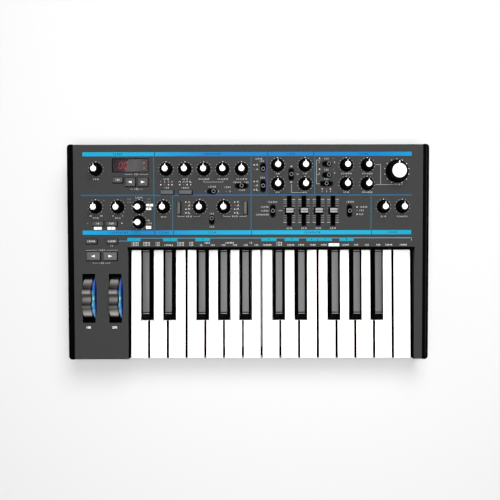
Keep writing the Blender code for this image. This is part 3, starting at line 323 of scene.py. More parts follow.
def ramp(tree, factor, stops):
    """A colour ramp through (position, hex code) stops."""
    colour = add(tree, "ShaderNodeValToRGB", {"Fac": factor})
    bands = colour.node.color_ramp.elements
    while len(bands) < len(stops):
        bands.new(1.0)
    for band, (position, code) in zip(bands, stops):
        band.position, band.color = position, linear(code)
    return colour


def grain(tree, place, millimetres, detail=2.0):
    """Noise whose blotches are about this many millimetres across."""
    return add(tree, "ShaderNodeTexNoise", {"Vector": place, "Scale": 1000 / millimetres, "Detail": detail})


def spread(tree, value, low, high, start=0.0, end=1.0):
    """Maps a value that runs from start to end on to the range from low to high, and keeps it inside."""
    return add(tree, "ShaderNodeMapRange", {"Value": value, "From Min": start, "From Max": end,
                                            "To Min": low, "To Max": high})


def scaled(tree, colour, share):
    """A colour times a number."""
    return add(tree, "ShaderNodeVectorMath", {0: colour, "Scale": share}, operation="SCALE")


def shaded(name, values, along, ends, stops, wear=None):
    """A material whose colour follows a ramp along a direction, or along a number that the mesh carries.

    ends are where the ramp starts and ends along it. wear is the size of a fine grain and the range of
    brightness that the grain spreads the colour over.
    """
    made, tree, shader, place = material(name, values)
    if isinstance(along, str):
        reach = add(tree, "ShaderNodeAttribute", {}, "Fac", attribute_name=along)
    else:
        reach = add(tree, "ShaderNodeVectorMath", {0: place, 1: along}, "Value", operation="DOT_PRODUCT")
    colour = ramp(tree, spread(tree, reach, 0.0, 1.0, *ends), stops)
    if wear:
        size, low, high = wear
        colour = scaled(tree, colour, spread(tree, grain(tree, place, size), low, high))
    feed(tree, shader, {"Base Color": colour})
    return made


GRAIN_DEPTH = 0.03                  # height of a moulded grain in millimetres
CLOUD_SIZE, CLOUD_DETAIL = 12, 3.0  # patches of duller and brighter skin: times the grain's size
DARK_STOP, LIGHT_STOP = 0.3, 0.7    # where the grain's noise takes the darker and the lighter shade


def surface(name, shades, size, bump, rough, shine=0.5, ior=1.53, metal=0.0):
    """A moulded, painted or plated surface: two close shades mixed by a grain that also lifts the surface.

    shades are (darker, lighter) hex codes, size is the grain in millimetres, bump its strength, and rough
    the (low, high) range that a coarser cloud spreads the roughness over.
    """
    made, tree, shader, place = material(name, {"IOR": ior, "Specular IOR Level": shine, "Metallic": metal})
    speck = grain(tree, place, size)
    cloud = grain(tree, place, size * CLOUD_SIZE, CLOUD_DETAIL)
    lift = {"Height": speck, "Strength": bump, "Distance": GRAIN_DEPTH * MM}
    feed(tree, shader, {"Base Color": ramp(tree, speck, list(zip((DARK_STOP, LIGHT_STOP), shades))),
                        "Normal": add(tree, "ShaderNodeBump", lift),
                        "Roughness": spread(tree, cloud, *rough)})
    return made


# Spark-eroded ABS mouldings: fine matt grain, almost no shine, so the cheeks read as pure black.
case_abs = surface("moulded_black_abs", ("#010101", "#020202"), 0.7, 0.2, (0.36, 0.44), 0.01)
# The same moulding on the outer walls, coarser and with a soft sheen that shows their form.
wall_abs = surface("textured_black_abs", ("#050505", "#0b0b0b"), 1.1, 0.35, (0.4, 0.5), 0.16)
# Painted highlight along the right cheek's edge: the same plastic, a little paler.
cheek_highlight_abs = surface("painted_highlight_black_abs", ("#111111", "#171717"), 0.7, 0.2, (0.36, 0.44), 0.05)
# Powder-coated steel sheet: an even charcoal with a fine orange-peel sparkle.
panel_coat = surface("powder_coated_steel", ("#323232", "#393939"), 0.9, 0.2, (0.42, 0.5), 0.03, 1.5)
# Polished acrylic-capped keys: bright white, a clear gloss and hardly any texture.
key_white = surface("polished_white_acrylic", ("#f8f8f7", "#fefefd"), 6.0, 0.02, (0.16, 0.24), ior=1.49)
# Flanks of the keys and the rounded edges beside them: near-black painted shade, which leaves the gaps
# between keys black.
key_flank_shade = surface("painted_shade_key_flank", ("#020202", "#050505"), 1.0, 0.1, (0.9, 1.0), 0.0, 1.49)
# Satin ABS of the black keys: dark sides with a dull shine on the rounded edges.
key_black = surface("satin_black_abs", ("#010101", "#020202"), 0.8, 0.1, (0.34, 0.42), 0.01)
# Soft-touch rubber paint of the knobs: velvet black that swallows the light.
knob_rubber = surface("soft_touch_black_rubber", ("#020202", "#040404"), 0.5, 0.2, (0.4, 0.5), 0.03, 1.5)
# White ABS inserts of the knobs: clean, slightly dull.
cap_white = surface("white_abs_insert", ("#efefef", "#fafafa"), 0.8, 0.1, (0.36, 0.46))
# Button plastics: dyed ABS with a fine grain, in four greys.
button_light = surface("grey_button_abs", ("#484848", "#505050"), 0.6, 0.3, (0.4, 0.5), 0.2)
button_coal = surface("charcoal_button_abs", ("#353535", "#3c3c3c"), 0.6, 0.3, (0.4, 0.5), 0.2)
button_mid = surface("mid_grey_button_abs", ("#3e4041", "#464749"), 0.6, 0.3, (0.4, 0.5), 0.2)
button_dark = surface("dark_button_abs", ("#373837", "#3f413f"), 0.6, 0.3, (0.4, 0.5), 0.2)
# Black nylon of slots and bezels: dull and nearly unlit. The same black is also laid as painted shade in
# the gap behind the keys, on the panel's front edge, round the button holes and in the screw recesses.
nylon_black_and_shade = surface("black_nylon_and_painted_shade", ("#010101", "#020202"), 0.6, 0.2, (0.6, 0.7), 0.008)
# Fader caps: light grey ABS with a faint silk shine. The rings on the switch nubs are a painted highlight
# on the nubs' top edges, in a darker grey.
fader_grey = surface("light_grey_abs", ("#7c7c7a", "#888886"), 0.6, 0.2, (0.36, 0.46), 0.3)
nub_highlight_grey = surface("nub_painted_highlight", ("#656563", "#71716f"), 0.6, 0.2, (0.36, 0.46), 0.3)
# Moulded foot rubber: black and dull, with a coarse skin.
foot_rubber = surface("black_foot_rubber", ("#0a0a0a", "#141414"), 0.8, 0.5, (0.7, 0.8), ior=1.5)
# Nickel-plated brass nuts and shells: pale yellowish mirror with fine turning marks.
nickel = surface("nickel_plated_brass", ("#b8b3a6", "#c9c5b9"), 0.4, 0.15, (0.22, 0.32), metal=1.0)
# Blackened machine screws: dark metal with a low sheen.
screw_black = surface("blackened_steel", ("#1a1a1b", "#262627"), 0.4, 0.2, (0.35, 0.45), metal=1.0)
# Zinc-plated pressed steel of the key frame: cool grey with soft crystal blotches.
zinc_steel = surface("zinc_plated_steel", ("#8d9092", "#a5a8aa"), 3.0, 0.1, (0.3, 0.42), metal=1.0)
# The lip beside each wheel: a dark blue sheet of painted shade on the panel's edge by the slot.
lip_blue_shade = surface("painted_blue_shade", ("#010a38", "#021044"), 0.6, 0.2, (0.6, 0.7), 0.01, 1.49)

INK_RIGHT = 202.0                   # right end of the printing; its left end is given to each ink
INK = {"IOR": 1.5, "Roughness": 0.5, "Specular IOR Level": 0.06}
INK_WEAR = (0.8, 0.94, 1.04)


def even(*codes):
    """Stops of a colour ramp at equal steps."""
    return list(zip(np.linspace(0, 1, len(codes)), codes))


def printed(name, stops, left=-206.0):
    """Screen-printed enamel whose colour changes gently from left to right, over a fine pinhole grain."""
    return shaded(name, INK, (1, 0, 0), (left * MM, INK_RIGHT * MM), stops, INK_WEAR)


# Printed bands: opaque enamel ink, azure at the back and cyan at the front, drifting along the panel.
ink_azure = printed("azure_enamel_ink", ((0.0, "#0e8eb2"), (0.2, "#108bb5"), (0.38, "#0b6ea9"),
                                         (0.7, "#066aa4"), (0.9, "#036dac"), (1.0, "#097fb2")), -205.0)
ink_cyan = printed("cyan_enamel_ink", ((0.0, "#0e8cb7"), (0.2, "#0972ac"), (0.4, "#0b90b4"),
                                       (0.7, "#0c97bb"), (1.0, "#0e8cac")), -205.0)
ink_teal = printed("teal_enamel_ink", even("#1587a7", "#158c9f"))
# Fine dividing lines: a thinner pass of blue ink that lets the charcoal through.
ink_steel = printed("steel_blue_ink", even("#23546c", "#215278", "#25526e"))
ink_slate = printed("slate_blue_ink", even("#32525d", "#2c5064", "#325161"))
ink_violet = printed("violet_blue_ink", even("#333868", "#3a3e6e"))
ink_navy = printed("navy_ink", even("#0c3b4e", "#103651"))
ink_tie = printed("pale_blue_ink", even("#3a7a95", "#57899f", "#77919b"))
# White, grey and dark legends: opaque ink, dulled by the rough paint under it.
ink_white = printed("white_legend_ink", even("#e2e2e0", "#ececea"))
ink_soft = printed("soft_white_legend_ink", even("#aeaeac", "#b6b6b4"))
ink_pale = printed("pale_grey_legend_ink", even("#969694", "#9e9e9c"))
ink_grey = printed("grey_legend_ink", even("#747472", "#7b7b7a"))
ink_dark = printed("dark_legend_ink", even("#053258", "#053152"))
ink_black = printed("black_legend_ink", even("#141414", "#161616"))


LENS_GRAIN, LENS_SPREAD = 0.9, (0.8, 1.2)


def glowing(name, code, strength):
    """Light through a moulded lens: the colour also shines, a little brighter where its grain is thin."""
    made, tree, shader, place = material(name, {"IOR": 1.49, "Roughness": 0.2, "Base Color": linear(code),
                                                "Emission Color": linear(code)})
    glow = spread(tree, grain(tree, place, LENS_GRAIN), *(strength * share for share in LENS_SPREAD))
    feed(tree, shader, {"Emission Strength": glow})
    return made


# Diffused light-emitting diodes: milky when off or lit white, deep red when dim, amber by the display.
led_white = glowing("milky_led_lens", "#bdb8b0", 0.05)
led_red = glowing("red_led_lens", "#7e3a38", 0.12)
led_amber = glowing("amber_led_lens", "#8a4e38", 0.15)
# Bars of the display's digits, dim behind the smoked window.
digit_red = glowing("red_display_segment", "#7c1820", 0.11)

# Shades of the painted light on the wheels' blue rings from front to rear, with a painted highlight in the
# middle
PAINTED_LIGHT_SHADES = (
    (0.0, "#6aa8e0"), (0.14, "#74b8f0"), (0.19, "#76c0f8"), (0.26, "#52a2df"), (0.33, "#69bdfa"),
    (0.44, "#5cb8e0"), (0.475, "#b8faff"), (0.51, "#90e0fa"), (0.55, "#56a6d0"), (0.65, "#5190e0"),
    (0.7, "#387cd2"), (0.79, "#4271d6"), (0.88, "#587cd8"), (1.0, "#4a64b0"))
GLOW_REACH = 26.0                   # how far the light goes to the front and the rear of the axle
HAZE_SIZE, HAZE = 5.0, (0.35, 0.5)  # blotches of the light, and its least and greatest strength


def make_wheel_glow():
    """Blue translucent acrylic that glows with painted light: a white painted highlight in the middle
    between deep and pale blue ends.

    The place along Y is spread over the ramp of painted light, and the mesh carries a share of it for each
    part of the ring, which paints shade towards the tyre.
    """
    made, tree, shader, place = material("blue_acrylic_painted_light", {"IOR": 1.49, "Roughness": 0.18})
    along = add(tree, "ShaderNodeSeparateXYZ", {"Vector": place}, "Y")
    axle = PIVOTS["pitch_wheel"][1]
    share = spread(tree, along, 0.0, 1.0, (axle - GLOW_REACH) * MM, (axle + GLOW_REACH) * MM)
    # lit is the share of the painted light, low where shade is painted on the ring
    lit = add(tree, "ShaderNodeAttribute", {}, "Fac", attribute_name="lit")
    tint = scaled(tree, ramp(tree, share, PAINTED_LIGHT_SHADES), lit)
    haze = spread(tree, grain(tree, place, HAZE_SIZE), *HAZE)
    feed(tree, shader, {"Base Color": tint, "Emission Color": tint, "Emission Strength": haze})
    return made


# Painted light and shade of the tyre: angle from the top of the wheel in degrees, front positive, and
# colour
TYRE_LIGHT_AND_SHADE = (
    (-60, "#0c0c0c"), (-56, "#7c7876"), (-50, "#827e7b"), (-43, "#5e5b59"), (-36, "#302e2d"),
    (-30, "#0e0d0d"), (-27, "#0f0e0e"), (-24.5, "#605d5b"), (-21, "#605e5c"), (-17, "#868381"),
    (-14, "#5a5856"), (-9, "#343231"), (-4, "#54524f"), (0, "#666361"), (5, "#605d5b"), (9, "#464442"),
    (14, "#100f0f"), (16.5, "#292827"), (19.5, "#66635f"), (22, "#454341"), (24.7, "#8a8784"),
    (27.5, "#444241"), (30.5, "#464442"), (36.5, "#827f7c"), (43, "#b2afac"), (47, "#a8a5a2"),
    (51, "#7e7b78"), (55, "#403e3d"), (59, "#060606"))
TYRE_SPAN = 60.0                    # degrees either way that the shades cover
TYRE_WEAR = (0.5, 0.9, 1.08)
TYRE_STOPS = [(0.5 + degrees / TYRE_SPAN / 2, shade) for degrees, shade in TYRE_LIGHT_AND_SHADE]
# Cast silicone rubber of the wheels, warm grey, with painted light and shade: darker in the groove and
# valley, a painted highlight on the ridges and front grip, and black painted shade where the tyre dips
# under the panel. The ramp follows the angle from the top either way.
tyre_rubber_and_shading = shaded("grey_silicone_rubber_painted_shading", {"IOR": 1.42, "Specular IOR Level": 0.2, "Roughness": 0.55},
                     "lean", (-TYRE_SPAN, TYRE_SPAN), TYRE_STOPS, TYRE_WEAR)

LENS_LEAN = (1.0, -0.3, 0.0)        # direction in which the display's shades change
LENS_LIGHT_SHADES = ((0.0, "#201f22"), (0.1, "#292226"), (0.25, "#33232a"), (0.37, "#33272b"), (0.41, "#464546"),
               (0.62, "#474748"), (0.76, "#403e3f"), (0.9, "#3c3233"), (1.0, "#282424"))
LENS_SIDES = DISPLAY[0] + np.array((-0.5, 0.5)) * DISPLAY[2]
LENS_ENDS = (panel_points(LENS_SIDES, DISPLAY[1], 0.0) @ LENS_LEAN).tolist()
# Smoked acrylic over the display, with painted light: a painted red glow on the left and a paler painted
# reflection on the right. The ramp follows X less a third of Y, so the edge between the two halves leans.
display_smoke_and_reflection = shaded("smoked_acrylic_painted_light", {"IOR": 1.49, "Roughness": 0.12}, LENS_LEAN, LENS_ENDS,
                       LENS_LIGHT_SHADES)

BOARD_DROP = 12.9                   # depth of the board's upper face below the panel's
MASK_GRAIN, MASK_SHADES, PART_BLACK = 1.5, ((0.3, "#0f3a26"), (0.7, "#17492f")), "#0b0b0b"
MIX_LOW, MIX_HIGH, MIX_COLOUR = 6, 7, 2     # colour inputs and colour output of a mix node


def make_board():
    """Control board: green solder mask below, black component bodies above it.

    The height above the board is w, so the colour changes where w passes the board's upper face.
    """
    made, tree, shader, place = material("solder_mask_and_components", {"IOR": 1.5, "Roughness": 0.5})
    upward = (0, -math.sin(TILT), math.cos(TILT))
    height = add(tree, "ShaderNodeVectorMath", {0: place, 1: upward}, "Value", operation="DOT_PRODUCT")
    face = (FOLD_Y * upward[1] + FOLD_Z * upward[2] - BOARD_DROP) * MM
    above = add(tree, "ShaderNodeMath", {0: height, 1: face}, operation="GREATER_THAN")
    mask = ramp(tree, grain(tree, place, MASK_GRAIN), MASK_SHADES)
    mixed = add(tree, "ShaderNodeMix", {0: above, MIX_LOW: mask, MIX_HIGH: linear(PART_BLACK)}, MIX_COLOUR,
                data_type="RGBA")
    feed(tree, shader, {"Base Color": mixed})
    return made


KEY_TOP_ENDS = (-76.0 * MM, 2.0 * MM)   # front and rear end of the shades along a black key's top
KEY_TOP_REFLECTIONS = ((0.012, "#7a7a7a"), (0.02, "#444444"), (0.6, "#414141"), (0.985, "#3e3e3e"),
                  (0.993, "#6c6c6c"))
KEY_TOP_WEAR = (0.9, 0.95, 1.05)
# Tops of the black keys: an even grey that is a painted reflection of the overhead light, between two paler
# end bars that are painted highlights on the rounded front and rear edges.
key_top_reflection = shaded("satin_grey_inlay", {"IOR": 1.53, "Roughness": 0.4, "Specular IOR Level": 0.3},
                      (0, 1, 0), KEY_TOP_ENDS, KEY_TOP_REFLECTIONS, KEY_TOP_WEAR)
wheel_painted_light = make_wheel_glow()
board_mask = make_board()


# Case, panel and keys

KEPT_NODES = {"keybed_frame": zinc_steel, "control_board": board_mask, "display_window": display_smoke_and_reflection,
              "top_panel": panel_coat}
CASE_EDGE, WHITE_EDGE, BLACK_EDGE = 0.5, 0.3, 0.6       # rounding of the edges
WALL_DEPTH, OUTWARD = 4.0, 0.5      # how deep an outer wall may lie, and how far its normal turns out


def middle_x(node):
    """Middle of a CAD node's box along X."""
    low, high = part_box(node)
    return (low.x + high.x) / 2 / MM


def grain_walls(case):
    """Gives the outer walls and the underside of the case their own finish.

    A wall's normal points away from the middle, and the wall lies near the outside of the case.
    """
    case.data.materials.append(wall_abs)
    faces = case.data.polygons
    normal, middle = read(faces, "normal"), read(faces, "center")
    reach = np.array(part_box("bottom_case")[1])[:2] - WALL_DEPTH * MM
    outward = (normal * np.sign(middle))[:, :2] > OUTWARD
    walls = (outward & (np.abs(middle[:, :2]) > reach)).any(1)
    walls |= (normal[:, 2] < -SIDEWAYS) & (middle[:, 2] < WALL_DEPTH * MM)
    faces.foreach_set("material_index", walls.astype(np.int32))


def dress_case():
    """Better materials for CAD nodes that stay, and rounded copies of the case and the keys."""
    for node, finish in KEPT_NODES.items():
        nodes[node].data.materials.clear()
        nodes[node].data.materials.append(finish)
    grain_walls(softened("bottom_case", case_abs, CASE_EDGE, "chassis"))
    for node in nodes:
        if node.startswith("white_key"):
            softened(node, key_white, WHITE_EDGE, node, key_flank_shade)
        if node.startswith("black_key"):
            softened(node, key_black, BLACK_EDGE, node, key_flank_shade)


# Black strip over the keys, painted shade in the dark gap under the panel's front edge: length, thickness,
# corner, and its rise
GAP_SHADE = (355.0, 2.3, 0.8, ((0.5, 51.0), (0.15, 51.2), (0, 51.6), (0, 54.3), (0.2, 54.6)))
GAP_SHADE_MIDDLE = (28.4, 4.05, 0)
# Black band of painted shade on the panel's front edge, and rib of painted highlight on the right cheek:
# segment, width, lower and upper face
EDGE_SHADE = ((-149.2, 0.85, 206.0, 0.85), 1.7, -0.3, 0.08)
CHEEK_HIGHLIGHT = ((219.9, -135.5, 219.9, 125.5), 1.0, 0.4, 0.66)


def make_liner():
    """Painted shade over the keys as a black strip and on the panel's front edge as a flat black band, and
    a painted highlight on a cheek as a thin rib.
    """
    make("key_slot_shade", [(pad(*GAP_SHADE) + GAP_SHADE_MIDDLE) * MM], nylon_black_and_shade)
    make("panel_edge_shade", [strokes(*EDGE_SHADE)], nylon_black_and_shade)
    make("cheek_painted_highlight", [strokes(*CHEEK_HIGHLIGHT)], cheek_highlight_abs)


BLACK_TOP_Z, REFLECTION_WIDTH = 50.0, 8.1
REFLECTION_RISE = ((0.0, -0.2), (0.0, 0.08), (0.12, 0.16), (0.5, 0.2))
# Painted reflection on a black key's top and its two end bars of painted highlight: front end, rear end,
# corner, rows of the rise
REFLECTION_PADS = ((-74.0, 0.6, 0.7, 4), (-76.2, -75.3, 0.3, 3), (1.7, 2.7, 0.3, 3))


def make_black_tops():
    """A painted reflection on every black key: a flat grey pad with round corners between two thin end bars
    of painted highlight.
    """
    for node in [name for name in nodes if name.startswith("black_key")]:
        shapes = []
        for front, rear, radius, rows in REFLECTION_PADS:
            loops = pad(REFLECTION_WIDTH, rear - front, radius, REFLECTION_RISE[:rows])
            shapes.append((loops + (middle_x(node), (front + rear) / 2, BLACK_TOP_Z)) * MM)
        make(node + "_inlay", shapes, key_top_reflection, node)


# Knobs

SMALL_BODY = ((2.9, -5.6), (2.9, 0.85), (7.9, 0.85), (8.13, 1.0), (8.15, 1.6), (7.8, 2.2), (6.7, 2.8),
              (5.95, 3.4), (5.8, 4.4), (5.6, 9.0), (5.4, 13.2), (5.3, 14.0), (5.0, 14.5), (4.6, 14.65),
              (3.7, 14.6))
LARGE_BODY = ((2.9, -5.6), (2.9, 0.85), (13.8, 0.85), (14.08, 1.0), (14.1, 1.8), (13.6, 2.5), (12.5, 3.1),
              (11.95, 3.7), (11.8, 4.6), (11.4, 9.5), (11.1, 14.0), (11.0, 14.7), (10.6, 15.2),
              (10.0, 15.35), (8.7, 15.3))


FLUTE_SHARES = (0, 0, 0, 0, 0, 0, 0, 0.4, 1, 1, 1, 0.8, 0.3, 0, 0)    # by rows of a body
FLUTE_DEPTH = 0.035
# A knob: its body, flutes and columns; its fin's width, depth, corner, rise and distance from the axis;
# its cap's radius, tip, lower and upper face, half width and slope of the pointer, and columns
SMALL_KNOB = ((SMALL_BODY, 18, 144), (1.0, 2.2, 0.3, ((0, 3.4), (0, 14.1), (0.2, 14.4))), 5.2,
              (3.5, 6.1, 14.4, 14.95, 0.62, 0.15, 120))
LARGE_KNOB = ((LARGE_BODY, 36, 216), (1.3, 2.4, 0.4, ((0, 4.0), (0, 14.7), (0.2, 15.1))), 10.9,
              (8.6, 12.1, 15.1, 15.55, 0.62, 0.01, 240))
CAP_ROWS = ((1.0, -0.18), (0.97, -0.04), (0.9, 0), (0.5, 0.05), (0.1, 0.06))   # share out, height
POINTER_SWING = 1.2                 # the pointer lies within this angle either way
KNOB_SPOTS = {node: (x, (y - FOLD_Y) / math.cos(TILT)) for node, (x, y, _) in PIVOTS.items()
              if node.endswith("_knob")}
BIG = "cutoff_knob"


def knob_body(profile, count, columns):
    """A turned profile whose grip is fluted: the radius dips by a cosine of the angle times a weight."""
    loops = turned(profile, columns)
    wave = (0.5 - 0.5 * np.cos(count * angles(columns))) ** 2
    loops[..., :2] *= 1 - (np.array(FLUTE_SHARES)[:, None] * FLUTE_DEPTH * wave)[..., None]
    return loops


def knob_cap(radius, tip, low, top, half, slope, columns):
    """A disc with a tapering pointer, as loops about the axis.

    In polar form the edge is the disc's radius, or where a ray meets the pointer's straight sides
    or its blunt tip, whichever is farther out.
    """
    swing = np.abs((angles(columns) + math.pi / 2) % (2 * math.pi) - math.pi)
    ray = np.minimum(swing, POINTER_SWING)
    ahead = np.minimum((half + slope * radius) / (np.tan(ray) + slope), tip)
    edge = np.where(swing < POINTER_SWING, np.maximum(radius, ahead / np.cos(ray)), radius)
    share, height = np.array(((1.0, low - top), *CAP_ROWS)).T
    return raised(share[:, None, None] * edge[:, None] * circle(columns), top + height)


def make_knobs():
    """Every knob: a fluted body with a fin under its pointer, and a white insert on top."""
    small, large = ((knob_body(*body), pad(*fin) + (0, ahead, 0), knob_cap(*cap))
                    for body, fin, ahead, cap in (SMALL_KNOB, LARGE_KNOB))
    for node, place in KNOB_SPOTS.items():
        turn = math.radians(90) if node in SELECTORS else 0.0
        body, fin, cap = (on_panel(shape, place, turn) for shape in (large if node == BIG else small))
        make(node + "_grip", [body, fin], knob_rubber, node, node)
        make(node + "_insert", [cap], cap_white, node)


SWEEP = np.radians(np.linspace(-155, 155, 13))
SCALE_RADIUS, BIG_SCALE_RADIUS = 9.2, 15.2
FAINT_DOT, BRIGHT_DOT = 0.44, 0.5
DOT = (((1.0, INK_LOW), (1.0, 0.05), (0.6, 0.07)), 12)


def make_dots(name, places, radius, ink):
    """One piece of flat printed dots, turned from a small profile."""
    spot = turned(*DOT) * (radius, radius, 1)
    make(name, [on_panel(spot, np.concatenate(places))], ink)


def make_knob_scales():
    """Thirteen printed dots round each knob over the sweep of its pointer; the middle one is brighter.

    All the dots of the large knob are bright.
    """
    arc = np.stack([np.sin(SWEEP), np.cos(SWEEP)], -1)
    middle = len(SWEEP) // 2
    rings = [place + SCALE_RADIUS * arc for node, place in KNOB_SPOTS.items() if node != BIG]
    bright = [KNOB_SPOTS[BIG] + BIG_SCALE_RADIUS * arc, *(ring[middle:middle + 1] for ring in rings)]
    make_dots("knob_scale_dots", [np.delete(ring, middle, 0) for ring in rings], FAINT_DOT, ink_pale)
    make_dots("knob_middle_dots", bright, BRIGHT_DOT, ink_white)


# Faders and wheels

# Parts of a fader: width, depth, corner, rise
FADER_BODY = (11.4, 8.8, 0.8, ((0.0, 0.85), (0.0, 2.6), (0.15, 3.2), (0.35, 8.3), (0.55, 8.7), (1.1, 8.8)))
FADER_STEM = (3.2, 4.0, 0.5, ((0, -5.6), (0, 1.2)))
FADER_PLATE = (9.0, 5.5, 0.5, ((0.0, 8.6), (0.0, 9.2), (0.15, 9.38), (0.5, 9.45)))
FADER_LINE = (8.4, 0.7, 0.2, ((0, 8.9), (0, 9.47), (0.1, 9.5)))
FADER_LIFT = (0, 0.4, 0)            # the plate sits this far up the slot from the cap's middle
FADER_SPOTS = {node: (middle_x(node), FADER_V)
               for node in ("attack_fader", "decay_fader", "sustain_fader", "release_fader")}


def make_faders():
    """Fader caps: a tapered black body on its stem, a light plate on top, and a dark line across it."""
    shapes = (pad(*FADER_BODY), pad(*FADER_STEM),
              pad(*FADER_PLATE) + FADER_LIFT, pad(*FADER_LINE) + FADER_LIFT)
    for node, place in FADER_SPOTS.items():
        body, stem, plate, line = (on_panel(shape, place) for shape in shapes)
        make(node + "_body", [body, stem], nylon_black_and_shade, node, node)
        make(node + "_plate", [plate], fader_grey, node)
        make(node + "_line", [line], nylon_black_and_shade, node)


# Tyre profile across its width: x, radius, share of the tread's relief
TYRE = ((-10.3, 2.4, 0), (-6.75, 2.4, 0), (-6.75, 19.0, 0), (-6.5, 20.0, 0), (-6.5, 23.4, 0.3),
        (-6.4, 26.6, 0.9), (-6.1, 27.2, 1), (-5.4, 27.48, 1), (3.3, 27.48, 1), (3.9, 27.2, 1),
        (4.1, 26.6, 0.9), (4.2, 23.4, 0.3), (4.2, 2.4, 0), (10.3, 2.4, 0))
# Relief of the tread: angle from its top, height over its round
TREAD = ((0, -4.4), (7, -4.1), (10, -3.0), (14, 0.2), (17, 0.85), (21, 0.85), (24, 0.2), (27.5, -1.5),
         (30, -1.4), (34, -0.2), (40, 0), (180, 0))
TREAD_STEPS = 360
# Blue ring beside the tyre: x, radius, share of the relief, share of the painted light; painted shade
# towards the tyre
BLUE_RING = ((5.6, 9.6, 0, 0.02), (6.5, 11.0, 0, 0.1), (6.85, 16.0, 0, 0.45), (6.85, 21.0, 0.2, 0.85),
             (6.6, 25.8, 0.9, 0.75), (6.1, 26.7, 1, 0.45), (5.6, 26.2, 1, 0.02), (5.3, 20.6, 0, 0.01),
             (4.1, 20.4, 0, 0), (4.1, 9.5, 0, 0))
WHEEL_SLOT, WHEEL_V = 15.8, -61.9
LIP = (1.7, 24.0)                   # bulge and half length of the dark blue lip beside a wheel
LIP_STEPS, LIP_BACK = 25, -0.05     # points along the lip, and how far it reaches into the slot
LIP_LOW, LIP_TOP = -0.6, 0.05


def about_axle(profile, relief, angle, hub):
    """A profile turned about a wheel's axle: Y and Z are the cosine and sine of the angle.

    Each row of the profile has its x, its radius and its share of the relief, which follows the angle.
    """
    x, radius, share = np.array(profile).T[:3, :, None]
    radius = radius + share * relief
    x = np.broadcast_to(x, radius.shape)
    return (np.stack([x, radius * np.cos(angle), radius * np.sin(angle)], -1) + hub) * MM


def tag(piece, name, values):
    """Store one number for each vertex of a piece, for its material."""
    piece.data.attributes.new(name, "FLOAT", "POINT").data.foreach_set("value", values)


def make_wheels():
    """Wheels: a tyre and a blue ring on its right, both with painted light and shade, turned about the axle
    with the tread's relief.

    The tyre carries the angle from its top, and the ring the share of its painted light. The lip beside
    each slot is a blue sheet of painted shade on the panel's edge, and bulges as one less the fourth power
    of the reach.
    """
    reach = np.linspace(-1, 1, LIP_STEPS)
    edge = np.concatenate([np.stack([LIP[0] * (1 - reach ** 4), reach * LIP[1]], -1),
                           np.stack([np.full(LIP_STEPS, LIP_BACK), -reach * LIP[1]], -1)])
    lip = prism(edge, LIP_LOW, LIP_TOP)
    angle = angles(TREAD_STEPS)
    lean = np.degrees((angle - math.pi / 2 - TILT + math.pi) % (2 * math.pi) - math.pi)
    relief = np.interp(np.abs(lean), *np.array(TREAD).T)
    lips = []
    for node in ("pitch_wheel", "mod_wheel"):
        hub = PIVOTS[node]
        tyre = about_axle(TYRE, relief, angle, hub)
        tyre = make(node + "_tyre", [tyre], tyre_rubber_and_shading, node, node)
        tag(tyre, "lean", np.tile(lean, len(TYRE)))
        ring = about_axle(BLUE_RING, relief, angle, hub)
        ring = make(node + "_glow", [ring], wheel_painted_light, node, tube=True)
        tag(ring, "lit", np.repeat(np.array(BLUE_RING)[:, 3], TREAD_STEPS))
        lips.append(on_panel(lip, (hub[0] + WHEEL_SLOT / 2, WHEEL_V)))
    make("wheel_lip_shades", lips, lip_blue_shade)


# Buttons, switches and slots

BUTTON_RISE = ((0.0, -1.3), (0.0, 1.1), (0.12, 1.35), (0.4, 1.5), (1.1, 1.55))
BUTTON_PLAY = (1.4, 1.1)            # a button is this much smaller than its hole
BUTTON_CORNER = 0.7
RIM_MARGIN, RIM_CORNER, RIM_TOP = (1.0, 1.0), 1.1, 0.065
# The black rim round each button's hole is painted shade, and this shift paints the button's shadow on its
# right and front side
SHADOW_SHIFT = (0.35, -0.35, 0)        # the dark rim of a button's hole is wider on the right and at the front
TRIANGLE = np.array([(-2.9, 0.0), (2.0, -1.55), (2.0, 1.55)])
MARK_LOW, MARK_TOP = 1.45, 1.62     # faces of the arrows on the buttons


def make_buttons():
    """Push buttons: round-cornered faces with eased tops, each on the black block of its switch.

    A dark rim of painted shade lies round each hole, shifted to the right and the front as a painted
    shadow, and every second arrow points to the right.
    """
    rim = (RIM_MARGIN, RIM_CORNER, BUTTON_CORNER, RIM_TOP)
    rims = [on_panel(outline((w, d), *rim, shift=SHADOW_SHIFT), (x, v))
            for x, v, w, d in ARROW_BUTTONS + LIGHT_BUTTONS + MID_BUTTONS + DARK_BUTTONS]
    make("button_shade_outlines", rims, nylon_black_and_shade, tube=True)
    for name, group, finish in (
            ("light", LIGHT_BUTTONS, button_light), ("arrow", ARROW_BUTTONS, button_coal),
            ("mid", MID_BUTTONS, button_mid), ("dark", DARK_BUTTONS, button_dark)):
        caps = [on_panel(pad(w - BUTTON_PLAY[0], d - BUTTON_PLAY[1], BUTTON_CORNER, BUTTON_RISE), (x, v))
                for x, v, w, d in group]
        make(name + "_button_caps", caps, finish)
    arrows = [on_panel(prism(TRIANGLE * way, MARK_LOW, MARK_TOP), button[:2])
              for button, way in zip(ARROW_BUTTONS + LIGHT_BUTTONS, (1, -1, 1, -1))]
    make("arrow_marks", arrows, ink_white)


# Turned stem of a switch: profile, and columns round the axis
NUB = (((2.42, -1.6), (2.45, 3.9), (2.4, 4.4), (2.15, 4.7), (1.8, 4.72), (1.5, 4.58), (0.4, 4.54)), 40)
